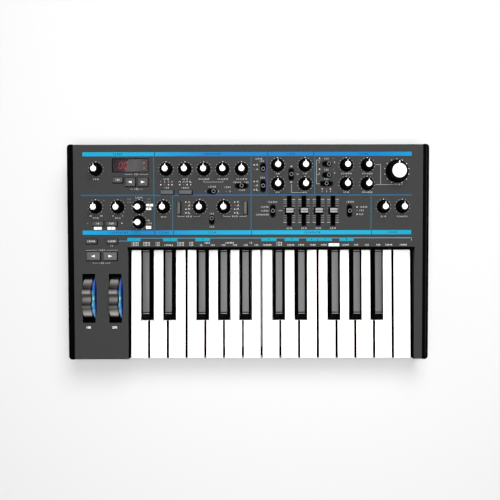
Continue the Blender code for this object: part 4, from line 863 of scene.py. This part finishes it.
# Ring of painted highlight on a nub's top edge: its radius, half its width, half its height, the height of
# its middle, and its columns
RING_MAJOR, RING_HALF, RING_RISE, RING_W, RING_STEPS = 2.0, 0.4, 0.24, 4.6, (12, 40)
WELL_PLAY, WELL_CORNER, WELL_RISE = 0.1, SWITCH_WIDTH / 2 - 0.06, ((0, -2.2), (0, -1.3))
# Dark rim of a switch's slot: margin where the slot lies across and where it lies along, corners, top
ACROSS_MARGIN, ALONG_MARGIN = (2.0, 0.6), (0.6, 1.6)
SLOT_RIM, SLOT_CORNER, SLOT_TOP = SWITCH_WIDTH / 2 + 0.3, SWITCH_WIDTH / 2 - 0.01, 0.05
OVAL_STEPS = 8


def make_switches():
    """Slide switches: an oval black well, a round nub with a dished top, and a pale ring of painted
    highlight on its rim.

    The ring is a circle of small ovals about the nub's axis.
    """
    wells, rims, spots = [], [], []
    for x, v, positions, rest, across in SWITCHES:
        length = SWITCH_WIDTH + (positions - 1) * SWITCH_STEP
        size = (length, SWITCH_WIDTH) if across else (SWITCH_WIDTH, length)
        well = pad(size[0] - WELL_PLAY, size[1] - WELL_PLAY, WELL_CORNER, WELL_RISE, OVAL_STEPS)
        wells.append(on_panel(well, (x, v)))
        margin = ACROSS_MARGIN if across else ALONG_MARGIN
        rim = outline(size, margin, SLOT_RIM, SLOT_CORNER, SLOT_TOP, OVAL_STEPS)
        rims.append(on_panel(rim, (x, v)))
        shift = (rest - (positions - 1) / 2) * SWITCH_STEP
        spots.append((x + shift, v) if across else (x, v + shift))
    make("switch_wells", wells, nylon_black_and_shade)
    make("switch_outlines", rims, nylon_black_and_shade, tube=True)
    make("switch_nubs", [on_panel(turned(*NUB), spots)], nylon_black_and_shade)
    oval = (RING_MAJOR, RING_W) + circle(RING_STEPS[0]) * (RING_HALF, RING_RISE)
    ring = turned(oval, RING_STEPS[1])
    make("switch_nub_highlights", [on_panel(ring, spots)], nub_highlight_grey, tube=True)


# Strokes beside a fader: distance up the slot from its middle
END_STROKES = (14.1, -14.2)
FINE_STROKES = (11.9, 9.4, 6.0, 2.6, -2.6, -5.7, -8.2, -11.2)


STROKE_ENDS, STROKE_TOP = (3.2, 7.2), 0.07      # distances from the slot's middle, and the upper face
END_WIDTH, FINE_WIDTH = 0.7, 0.6
STRIP_RISE, STRIP_CORNER = ((0, -2.2), (0, -1.4)), 0.3
FADER_RIM, FADER_RIM_CORNER = (0.7, 1.8), 0.5


def fader_strokes(steps):
    """Segments either side of every fader's slot at these distances from its middle."""
    start, end = STROKE_ENDS
    return [(x + side * start, v + step, x + side * end, v + step)
            for x, v in FADER_SPOTS.values() for side in (-1, 1) for step in steps]


def make_fader_slots():
    """Dust strips under the fader slots, and the rows of printed strokes beside them."""
    places = list(FADER_SPOTS.values())
    strip = pad(FADER_SLOT[0] - WELL_PLAY, FADER_SLOT[1] - WELL_PLAY, STRIP_CORNER, STRIP_RISE)
    make("fader_dust_strips", [on_panel(strip, places)], nylon_black_and_shade)
    rim = outline(FADER_SLOT, FADER_RIM, FADER_RIM_CORNER, STRIP_CORNER, SLOT_TOP)
    make("fader_outlines", [on_panel(rim, places)], nylon_black_and_shade, tube=True)
    make_lines("fader_end_strokes", fader_strokes(END_STROKES), END_WIDTH, ink_pale, STROKE_TOP)
    make_lines("fader_fine_strokes", fader_strokes(FINE_STROKES), FINE_WIDTH, ink_grey, STROKE_TOP)


# Printing on the panel

BAND_TOP = (113.6, 118.6)
BAND_LOW = (17.0, 22.2)
TOP_BREAKS = (-204.5, -115.2, 23.7, 80.8, 202.0)
LOW_BREAKS = (-205.0, -115.7, -92.6, 4.0, 152.5, 202.0)
BREAK = 0.9
KEY_TABS = ((-149.5, -133.1), (-105.4, -87.7), (-65.2, -47.2), (16.3, 34.9), (45.0, 62.8), (71.9, 85.4),
            (86.3, 103.7), (112.9, 130.3))
TAB_V, TAB_DEPTH = 11.0, 4.3
UPPER_DIVIDERS = ((-116.4, 3.7, 82.1), 66.6, 112.8)     # x of each line, lower and upper end
LOWER_DIVIDERS = ((-116.1, -93.4, 3.6, 151.8), 22.6, 64.6)
DIVIDER_WIDTH = 1.3
# Single lines: ends and width
VIOLET_DIVIDER = ((23.3, 66.6, 23.3, 112.8), DIVIDER_WIDTH)
MIDDLE_RULE, NAVY_RULE = ((-206.0, 65.6, 202.0, 65.6), 1.7), ((-205.0, 15.9, 202.0, 15.9), 0.9)
RULE_TOP = 0.05                     # rules lie a hair lower than the bands and the legends


def make_bands():
    """Coloured bands, dividing lines and key tabs: flat strokes a few hundredths above the paint."""
    for name, breaks, (low, high), ink in (("rear_band", TOP_BREAKS, BAND_TOP, ink_azure),
                                           ("front_band", LOW_BREAKS, BAND_LOW, ink_cyan)):
        middle = (low + high) / 2
        parts = [(a + BREAK / 2, middle, b - BREAK / 2, middle) for a, b in zip(breaks, breaks[1:])]
        make_lines(name, parts, high - low, ink)
    make_lines("key_tabs", [(a, TAB_V, b, TAB_V) for a, b in KEY_TABS], TAB_DEPTH, ink_teal)
    lines = [(x, low, x, high) for places, low, high in (UPPER_DIVIDERS, LOWER_DIVIDERS) for x in places]
    make_lines("dividing_lines", lines, DIVIDER_WIDTH, ink_slate, RULE_TOP)
    make_lines("middle_rule", *MIDDLE_RULE, ink_steel, RULE_TOP)
    make_lines("violet_divider", *VIOLET_DIVIDER, ink_violet, RULE_TOP)
    make_lines("navy_rule", *NAVY_RULE, ink_navy, RULE_TOP)


# Lines that tie groups of controls together: the points of each
BRACKETS = (
    ((-152.3, 91.4), (-142.5, 91.4)), ((-133.2, 91.4), (-123.3, 91.4)),
    ((-201.1, -2.1), (-187.0, -2.1)), ((-176.0, -2.1), (-161.6, -2.1)),
    ((-192.2, -16.5), (-192.2, -18.1), (-186.0, -18.1)),
    ((-177.4, -18.1), (-171.2, -18.1), (-171.2, -16.5)),
    ((-86.6, 41.4), (-86.6, 39.4), (-78.4, 39.4)), ((-67.6, 39.4), (-59.5, 39.4), (-59.5, 41.2)),
    ((-30.4, 41.2), (-30.4, 39.4), (-21.9, 39.4)), ((-11.1, 39.4), (-2.6, 39.4), (-2.6, 41.2)),
    ((-54.7, 84.2), (-54.7, 81.8), (-31.0, 81.8), (-31.0, 84.2)),
    ((53.6, 79.2), (53.6, 68.7), (70.3, 68.7), (70.3, 71.2)),
    ((89.3, 108.6), (84.4, 108.6), (84.4, 79.5), (88.8, 79.5)), ((84.4, 90.8), (88.7, 90.8)),
    ((157.1, 102.9), (163.4, 102.9), (163.4, 78.3)),
    ((157.2, 78.3), (179.4, 78.3)), ((188.8, 78.3), (189.9, 78.3), (189.9, 80.0)),
    ((37.4, 46.4), (42.4, 46.4)),
    ((-145.4, 73.2), (-142.2, 73.2)), ((-133.8, 73.2), (-130.4, 73.2)))
# Ties between the key tabs: height, right end, length of the hook there, start of the first tie
TIE_V, TIE_END, TIE_HOOK, TIE_START = 12.7, 202.0, 3.6, (-160.4, 9.2)
BRACKET_WIDTH, TIE_WIDTH = 0.45, 0.75


def make_brackets():
    """Thin grey lines that tie groups of controls together, and pale blue ties between the key tabs."""
    parts = [part for points in BRACKETS for part in chain(*points)]
    make_lines("bracket_lines", parts, BRACKET_WIDTH, ink_pale)
    ties = [(a, TIE_V, b, TIE_V) for (_, a), (b, _) in zip(KEY_TABS, KEY_TABS[1:])]
    ties += chain((KEY_TABS[-1][1], TIE_V), (TIE_END, TIE_V), (TIE_END, TIE_V - TIE_HOOK))
    ties += chain(TIE_START, (KEY_TABS[0][0], TIE_START[1]))
    make_lines("tab_ties", ties, TIE_WIDTH, ink_tie, RULE_TOP)


WHITE_BOXES = ((-185.9, 25.0, 9.8, 3.4), (-169.2, 25.0, 9.8, 3.4), (-121.7, 53.5, 8.6, 3.1),
               (-122.9, 49.0, 6.3, 2.9), (-123.1, 26.0, 6.3, 3.7), (106.0, 4.2, 13.2, 3.5))
FLAT = ((0.0, -0.1), (0.0, 0.05), (0.05, 0.06))
WHITE_LEDS = (
    (-107.7, 78.6), (-98.3, 78.6), (-93.9, 78.6), (-84.3, 78.6), (-75.3, 78.6), (-70.8, 78.6),
    (7.5, 102.7), (7.5, 82.3), (7.5, 72.2), (88.1, 110.8), (88.1, 97.4), (91.4, 73.2), (101.5, 73.2),
    (-76.9, 57.2), (-76.9, 48.4), (-76.9, 43.8), (-16.6, 57.2), (-16.6, 48.4), (-16.6, 43.8),
    (134.6, 50.8), (134.6, 41.8), (-156.1, 31.2))
RED_LEDS = (
    (-103.0, 78.6), (-79.6, 78.6), (-27.0, 70.2), (7.5, 97.3), (7.5, 77.2), (105.1, 110.8), (105.1, 97.0),
    (96.7, 73.2), (-76.9, 53.0), (-16.6, 53.0), (134.6, 46.5), (-198.7, 30.8), (-178.2, 59.4))
AMBER_LEDS = ((-128.1, 105.5), (-128.1, 99.3))
LENS = (((0.85, -0.3), (0.85, 0.1), (0.76, 0.28), (0.5, 0.42), (0.15, 0.48)), 16)


def make_lamps():
    """Small round lamps beside the switches: domes turned from one profile."""
    for name, places, lens in (("white_lamps", WHITE_LEDS, led_white), ("red_lamps", RED_LEDS, led_red),
                               ("amber_lamps", AMBER_LEDS, led_amber)):
        make(name, [on_panel(turned(*LENS), places)], lens)


# Bars of the digit zero: both ends, in quarters of its height
ZERO = ((-1, 2, 1, 2), (1, 0, 1, 2), (1, -2, 1, 0), (-1, -2, 1, -2), (-1, -2, -1, 0), (-1, 0, -1, 2))
DIGIT_X, DIGIT_SIZE, DIGIT_GAP, DIGIT_SLANT, DIGIT_BAR = (-157.0, -150.6), 1.9, 0.12, 0.18, 0.9
DIGIT_LOW = -0.2
DISPLAY_RIM = ((0, -0.2), (0, 0.12), (0.1, 0.18), (0.9, 0.18), (0.9, -0.3))
DISPLAY_MARGIN, DISPLAY_CORNER = 1.2, 0.8


def make_display():
    """Two slanted zeros of six bars each on the display, inside a thin dark frame."""
    x, v, width, depth = DISPLAY
    ends = np.array(ZERO, float).reshape(-1, 2, 2) * DIGIT_SIZE
    ends = ends + (ends[:, ::-1] - ends) * DIGIT_GAP
    ends[..., 0] += ends[..., 1] * DIGIT_SLANT
    bars = np.concatenate([ends + (middle, v) for middle in DIGIT_X])
    make("display_digits", [strokes(bars, DIGIT_BAR, DIGIT_LOW, INK_TOP)], digit_red)
    rim = pad(width + DISPLAY_MARGIN, depth + DISPLAY_MARGIN, DISPLAY_CORNER, DISPLAY_RIM)
    make("display_frame", [on_panel(rim, (x, v))], nylon_black_and_shade, tube=True)


WAVES = {"saw": ((-1, -0.6), (0.6, 0.7), (0.6, -0.6)), "hill": ((-1, -0.6), (0, 0.7), (1, -0.6)),
         "square": ((-1, -0.6), (-1, 0.6), (0.5, 0.6), (0.5, -0.6)),
         "pulse": ((-1, -0.6), (-1, 0.6), (-0.4, 0.6), (-0.4, -0.6), (1, -0.6))}
WAVE_SPOTS = (("hill", -84.3, 82.2), ("saw", -79.6, 82.2), ("square", -75.3, 82.2), ("pulse", -70.8, 82.2),
              ("square", 11.2, 102.7), ("hill", 11.2, 97.3), ("hill", 11.2, 82.3), ("square", 11.2, 77.2),
              ("pulse", 11.2, 72.2), ("hill", -72.9, 57.2), ("saw", -72.9, 53.0), ("square", -72.9, 48.4),
              ("pulse", -72.9, 43.8), ("hill", -12.6, 57.2), ("saw", -12.6, 53.0), ("square", -12.6, 48.4),
              ("pulse", -12.6, 43.8))
# Plain numbers that stand where the panel has words: number, x, v
SWITCH_NUMBERS = (
    (1, -52.6, 70.3), (2, -36.6, 70.3), (18, 53.2, 100.8), (19, 60.8, 91.1), (20, 53.2, 81.6),
    (1, 87.6, 105.8), (2, 106.6, 105.8), (1, 87.6, 92.4), (2, 106.6, 92.4), (1, 91.4, 70.0),
    (2, 96.7, 70.0), (3, 101.5, 70.0), (3, -22.4, 70.2), (30, -123.2, 34.6), (40, -194.4, 40.2),
    (90, -181.4, 40.2), (0, -166.8, 40.2), (9, -155.2, 40.2), (1, -107.7, 82.2), (2, -103.0, 82.2),
    (3, -98.3, 82.2), (4, -93.9, 82.2))
# Rows that count up from one: x, v, last number
CONTROL_ROWS = (
    (12.9, 110.2, 5), (16.7, 107.2, 3), (17.8, 87.0, 3), (96.4, 110.2, 3), (96.4, 96.6, 3),
    (96.4, 85.2, 3), (29.9, 57.0, 6), (20.3, 51.0, 5), (20.3, 46.2, 5), (17.4, 41.4, 8), (126.0, 57.0, 5),
    (142.4, 50.8, 5), (139.9, 46.5, 3), (139.4, 41.8, 3), (-134.9, 62.6, 5), (-181.5, -2.1, 4),
    (-181.7, -18.2, 3), (-138.0, 91.4, 3), (-138.0, 73.2, 3), (-169.0, 3.4, 2), (-100.6, 74.6, 3),
    (-77.6, 74.6, 5), (-44.6, 76.0, 5), (-7.8, 71.8, 4), (-13.6, 81.4, 5), (-2.2, 81.4, 3),
    (-25.6, 75.4, 4), (-44.9, 42.8, 3), (-44.9, 26.6, 3), (-121.6, 31.0, 3))
FAINT_ROWS = ((-147.2, 60.7, 3), (-147.0, 57.1, 3), (-122.8, 61.2, 3), (-122.8, 57.6, 3))
SECTION_ROWS = (
    (-160.7, 116.0, 5), (-45.2, 116.0, 9), (52.6, 116.0, 4), (141.7, 116.0, 5), (-160.2, 19.5, 9),
    (-104.3, 19.5, 5), (-44.9, 19.5, 4), (78.6, 19.5, 8), (177.7, 19.5, 5))
# Dial numbers under the knobs: plain, wide where the panel has two words, narrow in the close rows
DIAL, WIDE_DIAL, SHORT_DIAL = "0 5 10", "0 2 4 6 8 10", "0 10"
WIDE_KNOBS = ("osc_envelope_knob", "osc_lfo_knob", "pulse_width_knob", "filter_envelope_knob",
              "filter_lfo_knob", "filter_mod_knob", "resonance_knob")
SHORT_KNOBS = ("mix_osc1_knob", "mix_osc2_knob", "mix_sub_knob", "mix_external_knob")
CLOSE_ROWS = SHORT_KNOBS + ("resonance_knob", "filter_envelope_knob", "overdrive_knob", "filter_lfo_knob")
LOW_ROWS = ("arp_tempo_knob", "arp_rhythm_knob")
BRACKET_KNOBS = {"lfo1_speed_knob": (-73.0, 39.4), "lfo2_speed_knob": (-16.5, 39.4),
                 "cutoff_knob": (184.1, 78.3)}
DIAL_ROWS = dict.fromkeys(WIDE_KNOBS, WIDE_DIAL) | dict.fromkeys(SHORT_KNOBS, SHORT_DIAL)
USUAL_DROP = 12.2                   # how far the dial numbers lie under a knob, and the exceptions
DIAL_DROPS = dict.fromkeys(CLOSE_ROWS, 10.5) | dict.fromkeys(LOW_ROWS, 13.6)
FADER_LABEL_V = 24.5
WHEEL_NUMBERS = ((100, -198.6, -98.2), (200, -166.0, -98.2))
BUTTON_ROWS = ((-160.8, 84.6, 3), (-185.6, 30.8, 2), (-169.0, 30.8, 3), (-194.0, 8.9, 5), (-168.5, 8.9, 5))
# Rows over the keys: x, last number
UPPER_ROWS = (
    (-140.0, 5), (-125.8, 5), (-112.2, 3), (-83.7, 5), (-70.7, 3), (-50.8, 4), (-23.0, 6), (3.1, 2),
    (38.2, 4))
LOWER_ROWS = (
    (-140.0, 5), (-125.8, 5), (-112.2, 3), (-98.5, 6), (-83.7, 5), (-70.7, 3), (-58.4, 2), (-43.9, 3),
    (-30.8, 3), (-16.4, 3), (-3.2, 3), (10.0, 3), (23.4, 6), (38.2, 4), (52.5, 5), (65.5, 4), (79.7, 4),
    (93.3, 4), (119.9, 5), (133.5, 3), (146.5, 3), (160.8, 3), (173.8, 5), (191.7, 5))
UPPER_V, LOWER_V = 6.8, 4.0
OVERPRINT, BUTTON_PRINT = (0.0, 0.1), (1.4, 1.62)   # lower and upper face on bands and on buttons
WAVE_SIZE, WAVE_WIDTH, BOX_CORNER = (1.2, 1.5), 0.5, 0.4
# Heights of the numbers
LEGEND_SIZE, FAINT_SIZE, WHEEL_SIZE, BUTTON_SIZE = 2.6, 2.4, 4.0, 2.5
SECTION_SIZE, TAB_SIZE, KEY_SIZE, BOX_SIZE = 3.4, 3.2, 2.4, 2.9


def counted(rows):
    """Labels that count from one to the last number, each about its (x, v)."""
    return [(" ".join(map(str, range(1, last + 1))), x, v) for x, v, last in rows]


def knob_dial(node):
    """Dial numbers of a knob and their place: under the knob, or on the bracket that it belongs to."""
    if node in BRACKET_KNOBS:
        return (DIAL, *BRACKET_KNOBS[node])
    x, v = KNOB_SPOTS[node]
    return DIAL_ROWS.get(node, DIAL), x, v - DIAL_DROPS.get(node, USUAL_DROP)


def make_legends():
    """White boxes, wave marks and plain numbers where the panel has its legends."""
    boxes = [on_panel(pad(w, d, BOX_CORNER, FLAT), (x, v)) for x, v, w, d in WHITE_BOXES]
    make("white_boxes", boxes, ink_white)
    marks = [part for kind, *place in WAVE_SPOTS
             for part in chain(*(np.array(WAVES[kind]) * WAVE_SIZE + place))]
    make_lines("wave_marks", marks, WAVE_WIDTH, ink_soft)
    dials = [knob_dial(node) for node in KNOB_SPOTS if node not in SELECTORS]
    dials += [(DIAL, x, FADER_LABEL_V) for x, _ in FADER_SPOTS.values()]
    dials += [*counted(CONTROL_ROWS), *SWITCH_NUMBERS]
    make_numbers("control_numbers", dials, LEGEND_SIZE, ink_soft)
    make_numbers("selector_numbers", counted(FAINT_ROWS), FAINT_SIZE, ink_grey)
    make_numbers("wheel_numbers", WHEEL_NUMBERS, WHEEL_SIZE, ink_white)
    make_numbers("button_numbers", counted(BUTTON_ROWS), BUTTON_SIZE, ink_white, *BUTTON_PRINT)
    make_numbers("section_numbers", counted(SECTION_ROWS), SECTION_SIZE, ink_dark, *OVERPRINT)
    tabs = [(number, (a + b) / 2, TAB_V) for number, (a, b) in enumerate(KEY_TABS, 1)]
    make_numbers("tab_numbers", tabs, TAB_SIZE, ink_dark, *OVERPRINT)
    keys = [(x, UPPER_V, last) for x, last in UPPER_ROWS] + [(x, LOWER_V, last) for x, last in LOWER_ROWS]
    make_numbers("key_numbers", counted(keys), KEY_SIZE, ink_white)
    boxed = [(number, x, v) for number, (x, v, _, _) in enumerate(WHITE_BOXES, 1)]
    make_numbers("box_numbers", boxed, BOX_SIZE, ink_black, *OVERPRINT)


# Rear, underside and feet

JACKS, ROUNDS = (-28.0, 0.0, 28.0, 55.0), (92.0, 122.0)
SQUARE_X, POWER_X, SOCKET_Z = 152.0, 178.0, 29.0
# Turned parts of the sockets: profile, and columns round the axis
WASHER = (((3.4, -2.0), (3.4, 0.9), (7.2, 0.9), (7.4, 0.0), (7.4, -0.2)), 40)
NUT = (((3.4, 0.6), (3.4, 2.6), (6.0, 2.9), (6.5, 2.5), (6.5, 0.6)), 6)
ROUND_SHELL = (((6.6, -9.0), (6.6, 0.4), (7.3, 0.6), (8.6, 0.4), (8.6, -0.2), (7.0, -9.0)), 48)
ROUND_INSERT = (((6.7, -9.5), (6.7, -7.5), (6.2, -7.2), (0.5, -7.2)), 40)
PIN = (((0.75, -7.4), (0.75, -7.12), (0.3, -7.1)), 12)
PIN_REACH, PIN_ANGLES = 4.3, np.radians((0, 45, 90, 135, 180))
POWER_SHELL = (((3.1, -9.0), (3.1, 0.3), (4.4, 0.5), (4.6, 0.2), (4.6, -0.2), (3.5, -9.0)), 40)
POWER_PIN = (((1.0, -12.0), (1.0, -2.4), (0.7, -1.6), (0.2, -1.4)), 16)
# Square socket: width, depth, corner, rise
SQUARE_SHELL = (12.0, 11.2, 1.2, ((0, -0.2), (0, 0.3), (0.3, 0.5), (1.5, 0.4), (1.8, -8.0), (1.0, -8.0)))
SQUARE_TONGUE = (5.6, 3.2, 0.3, ((0, -9.0), (0, -2.0), (0.3, -1.6)))


def rearward(loops, x):
    """Turns a local shape so that its height points out of the rear wall, in the row of sockets."""
    return np.stack([x - loops[..., 0], REAR_Y + loops[..., 2], SOCKET_Z + loops[..., 1]], -1) * MM


def make_sockets():
    """Rear sockets: hexagon nuts on washers, round shells with contact pins, and a square shell."""
    nuts = [rearward(turned(*part)[::-1], x) for x in JACKS for part in (WASHER, NUT)]
    shells = [rearward(turned(*ROUND_SHELL)[::-1], x) for x in ROUNDS]
    shells += [rearward(pad(*SQUARE_SHELL)[::-1], SQUARE_X), rearward(turned(*POWER_SHELL)[::-1], POWER_X)]
    inserts = [rearward(turned(*ROUND_INSERT), x) for x in ROUNDS]
    inserts.append(rearward(pad(*SQUARE_TONGUE), SQUARE_X))
    spots = [(PIN_REACH * math.cos(angle), -PIN_REACH * math.sin(angle), 0) for angle in PIN_ANGLES]
    pins = [rearward(turned(*PIN) + spot, x) for x in ROUNDS for spot in spots]
    pins.append(rearward(turned(*POWER_PIN), POWER_X))
    make("jack_nuts", nuts, nickel, tube=True)
    make("socket_shells", shells, nickel, tube=True)
    make("socket_inserts", inserts, nylon_black_and_shade)
    make("socket_pins", pins, nickel)


FEET = ((-197.0, -107.0), (197.0, -107.0), (-197.0, 107.0), (197.0, 107.0))
FOOT = (((6.6, -0.02), (7.8, 0.15), (8.25, 0.8), (8.35, 4.02), (7.9, 4.1)), 48)
SCREWS = ((-205.0, 0.0), (205.0, 0.0), (-120.0, -118.0), (0.0, -118.0), (120.0, -118.0), (-120.0, 118.0),
          (0.0, 118.0), (120.0, 118.0), (-80.0, 20.0), (80.0, 20.0))
SCREW_HEAD = (((3.2, 4.2), (3.2, 3.7), (2.9, 3.35), (2.2, 3.05), (1.2, 2.95), (0.4, 2.92)), 28)


SCREW_SHADE_BAR = (3.4, 0.6, 0.1, ((0, 2.88), (0, 3.2)), 2)


def under(loops, places):
    """Copies of a local shape at each (x, y) place of the underside."""
    return (loops + np.pad(np.array(places, float), ((0, 0), (0, 1)))[:, None, None]) * MM


def make_underside():
    """Turned rubber feet, and pan-head screws whose cross recess is painted shade: two black bars."""
    make("rubber_feet", [under(turned(*FOOT), FEET)], foot_rubber)
    make("case_screws", [under(turned(*SCREW_HEAD)[::-1], SCREWS)], screw_black)
    bar = pad(*SCREW_SHADE_BAR)
    cross = bar[..., [1, 0, 2]] * (-1, 1, 1)
    make("screw_recess_shades", [under(bar, SCREWS), under(cross, SCREWS)], nylon_black_and_shade)


dress_case()
make_liner()
make_black_tops()
make_knobs()
make_knob_scales()
make_faders()
make_wheels()
make_buttons()
make_switches()
make_fader_slots()
make_bands()
make_brackets()
make_lamps()
make_display()
make_legends()
make_sockets()
make_underside()


# Stage

# Floor: half its side in metres, its drop below the feet, and how far off it starts and ends to glow
FLOOR_SIDE, FLOOR_DROP = 14.0, 0.0001
GLOW_START, GLOW_END, GLOW_MOST = 0.55, 2.6, 0.62


def make_floor():
    """A plain pale floor under the feet, which fades to white far away, as a lit studio sweep does."""
    mesh = bpy.data.meshes.new("studio_floor")
    corners = np.array([(-1, -1, 0), (1, -1, 0), (1, 1, 0), (-1, 1, 0)]) * FLOOR_SIDE - (0, 0, FLOOR_DROP)
    mesh.from_pydata(corners.tolist(), [], [(0, 1, 2, 3)])
    paper, tree, shader, place = material("white_paper", {
        "Roughness": 0.9, "Specular IOR Level": 0.1, "Base Color": linear("#d2d2d2"),
        "Emission Color": linear("#ffffff")})
    away = add(tree, "ShaderNodeVectorMath", {0: place}, "Value", operation="LENGTH")
    feed(tree, shader, {"Emission Strength": spread(tree, away, 0.0, GLOW_MOST, GLOW_START, GLOW_END)})
    mesh.materials.append(paper)
    floor = stand("studio_floor", mesh)


# Lamps: place in metres, disc size in metres, watts
LAMPS = {"rear_key": ((0.25, 0.95, 1.5), 1.1, 22.1), "top_fill": ((0.05, -0.1, 1.8), 0.9, 32.5)}
# Grey of the surround by the height of the ray: pale at the horizon, dark where the camera hangs
SURROUND = ((0.02, "#f4f4f4"), (0.2, "#6c6c6c"), (0.72, "#646464"), (0.92, "#181818"))


def make_light():
    """A white surround that darkens overhead, where the camera is, and two broad lamps."""
    world = bpy.data.worlds.new("white_surround")
    world.use_nodes = True
    tree = world.node_tree
    way = add(tree, "ShaderNodeTexCoord", {}, "Generated")
    up = add(tree, "ShaderNodeSeparateXYZ", {"Vector": way}, "Z")
    feed(tree, tree.nodes["Background"], {"Color": ramp(tree, up, SURROUND)})
    bpy.context.scene.world = world
    for name, (place, size, power) in LAMPS.items():
        lamp = bpy.data.lights.new(name, "AREA")
        lamp.shape, lamp.size, lamp.energy = "DISK", size, power
        made = stand(name, lamp)
        made.location = place
        made.rotation_euler = Vector(place).to_track_quat("Z", "Y").to_euler()


CAMERA = (2.2, -12.3, 874.1)
CAMERA_TILT, CAMERA_ROLL = math.radians(1.06), math.radians(-0.1)
FOCAL_PIXELS, IMAGE, SENSOR = 662.3, 500, 36.0


def make_camera():
    """A camera high above the keys, looking almost straight down."""
    lens = bpy.data.cameras.new("camera")
    lens.sensor_width = SENSOR
    lens.lens = FOCAL_PIXELS / IMAGE * SENSOR
    camera = stand("camera", lens)
    camera.location = np.array(CAMERA) * MM
    camera.rotation_mode = "ZYX"
    camera.rotation_euler = (CAMERA_TILT, 0, CAMERA_ROLL)
    bpy.context.scene.camera = camera


make_floor()
make_light()
make_camera()
bpy.context.scene.view_settings.view_transform = "Standard"
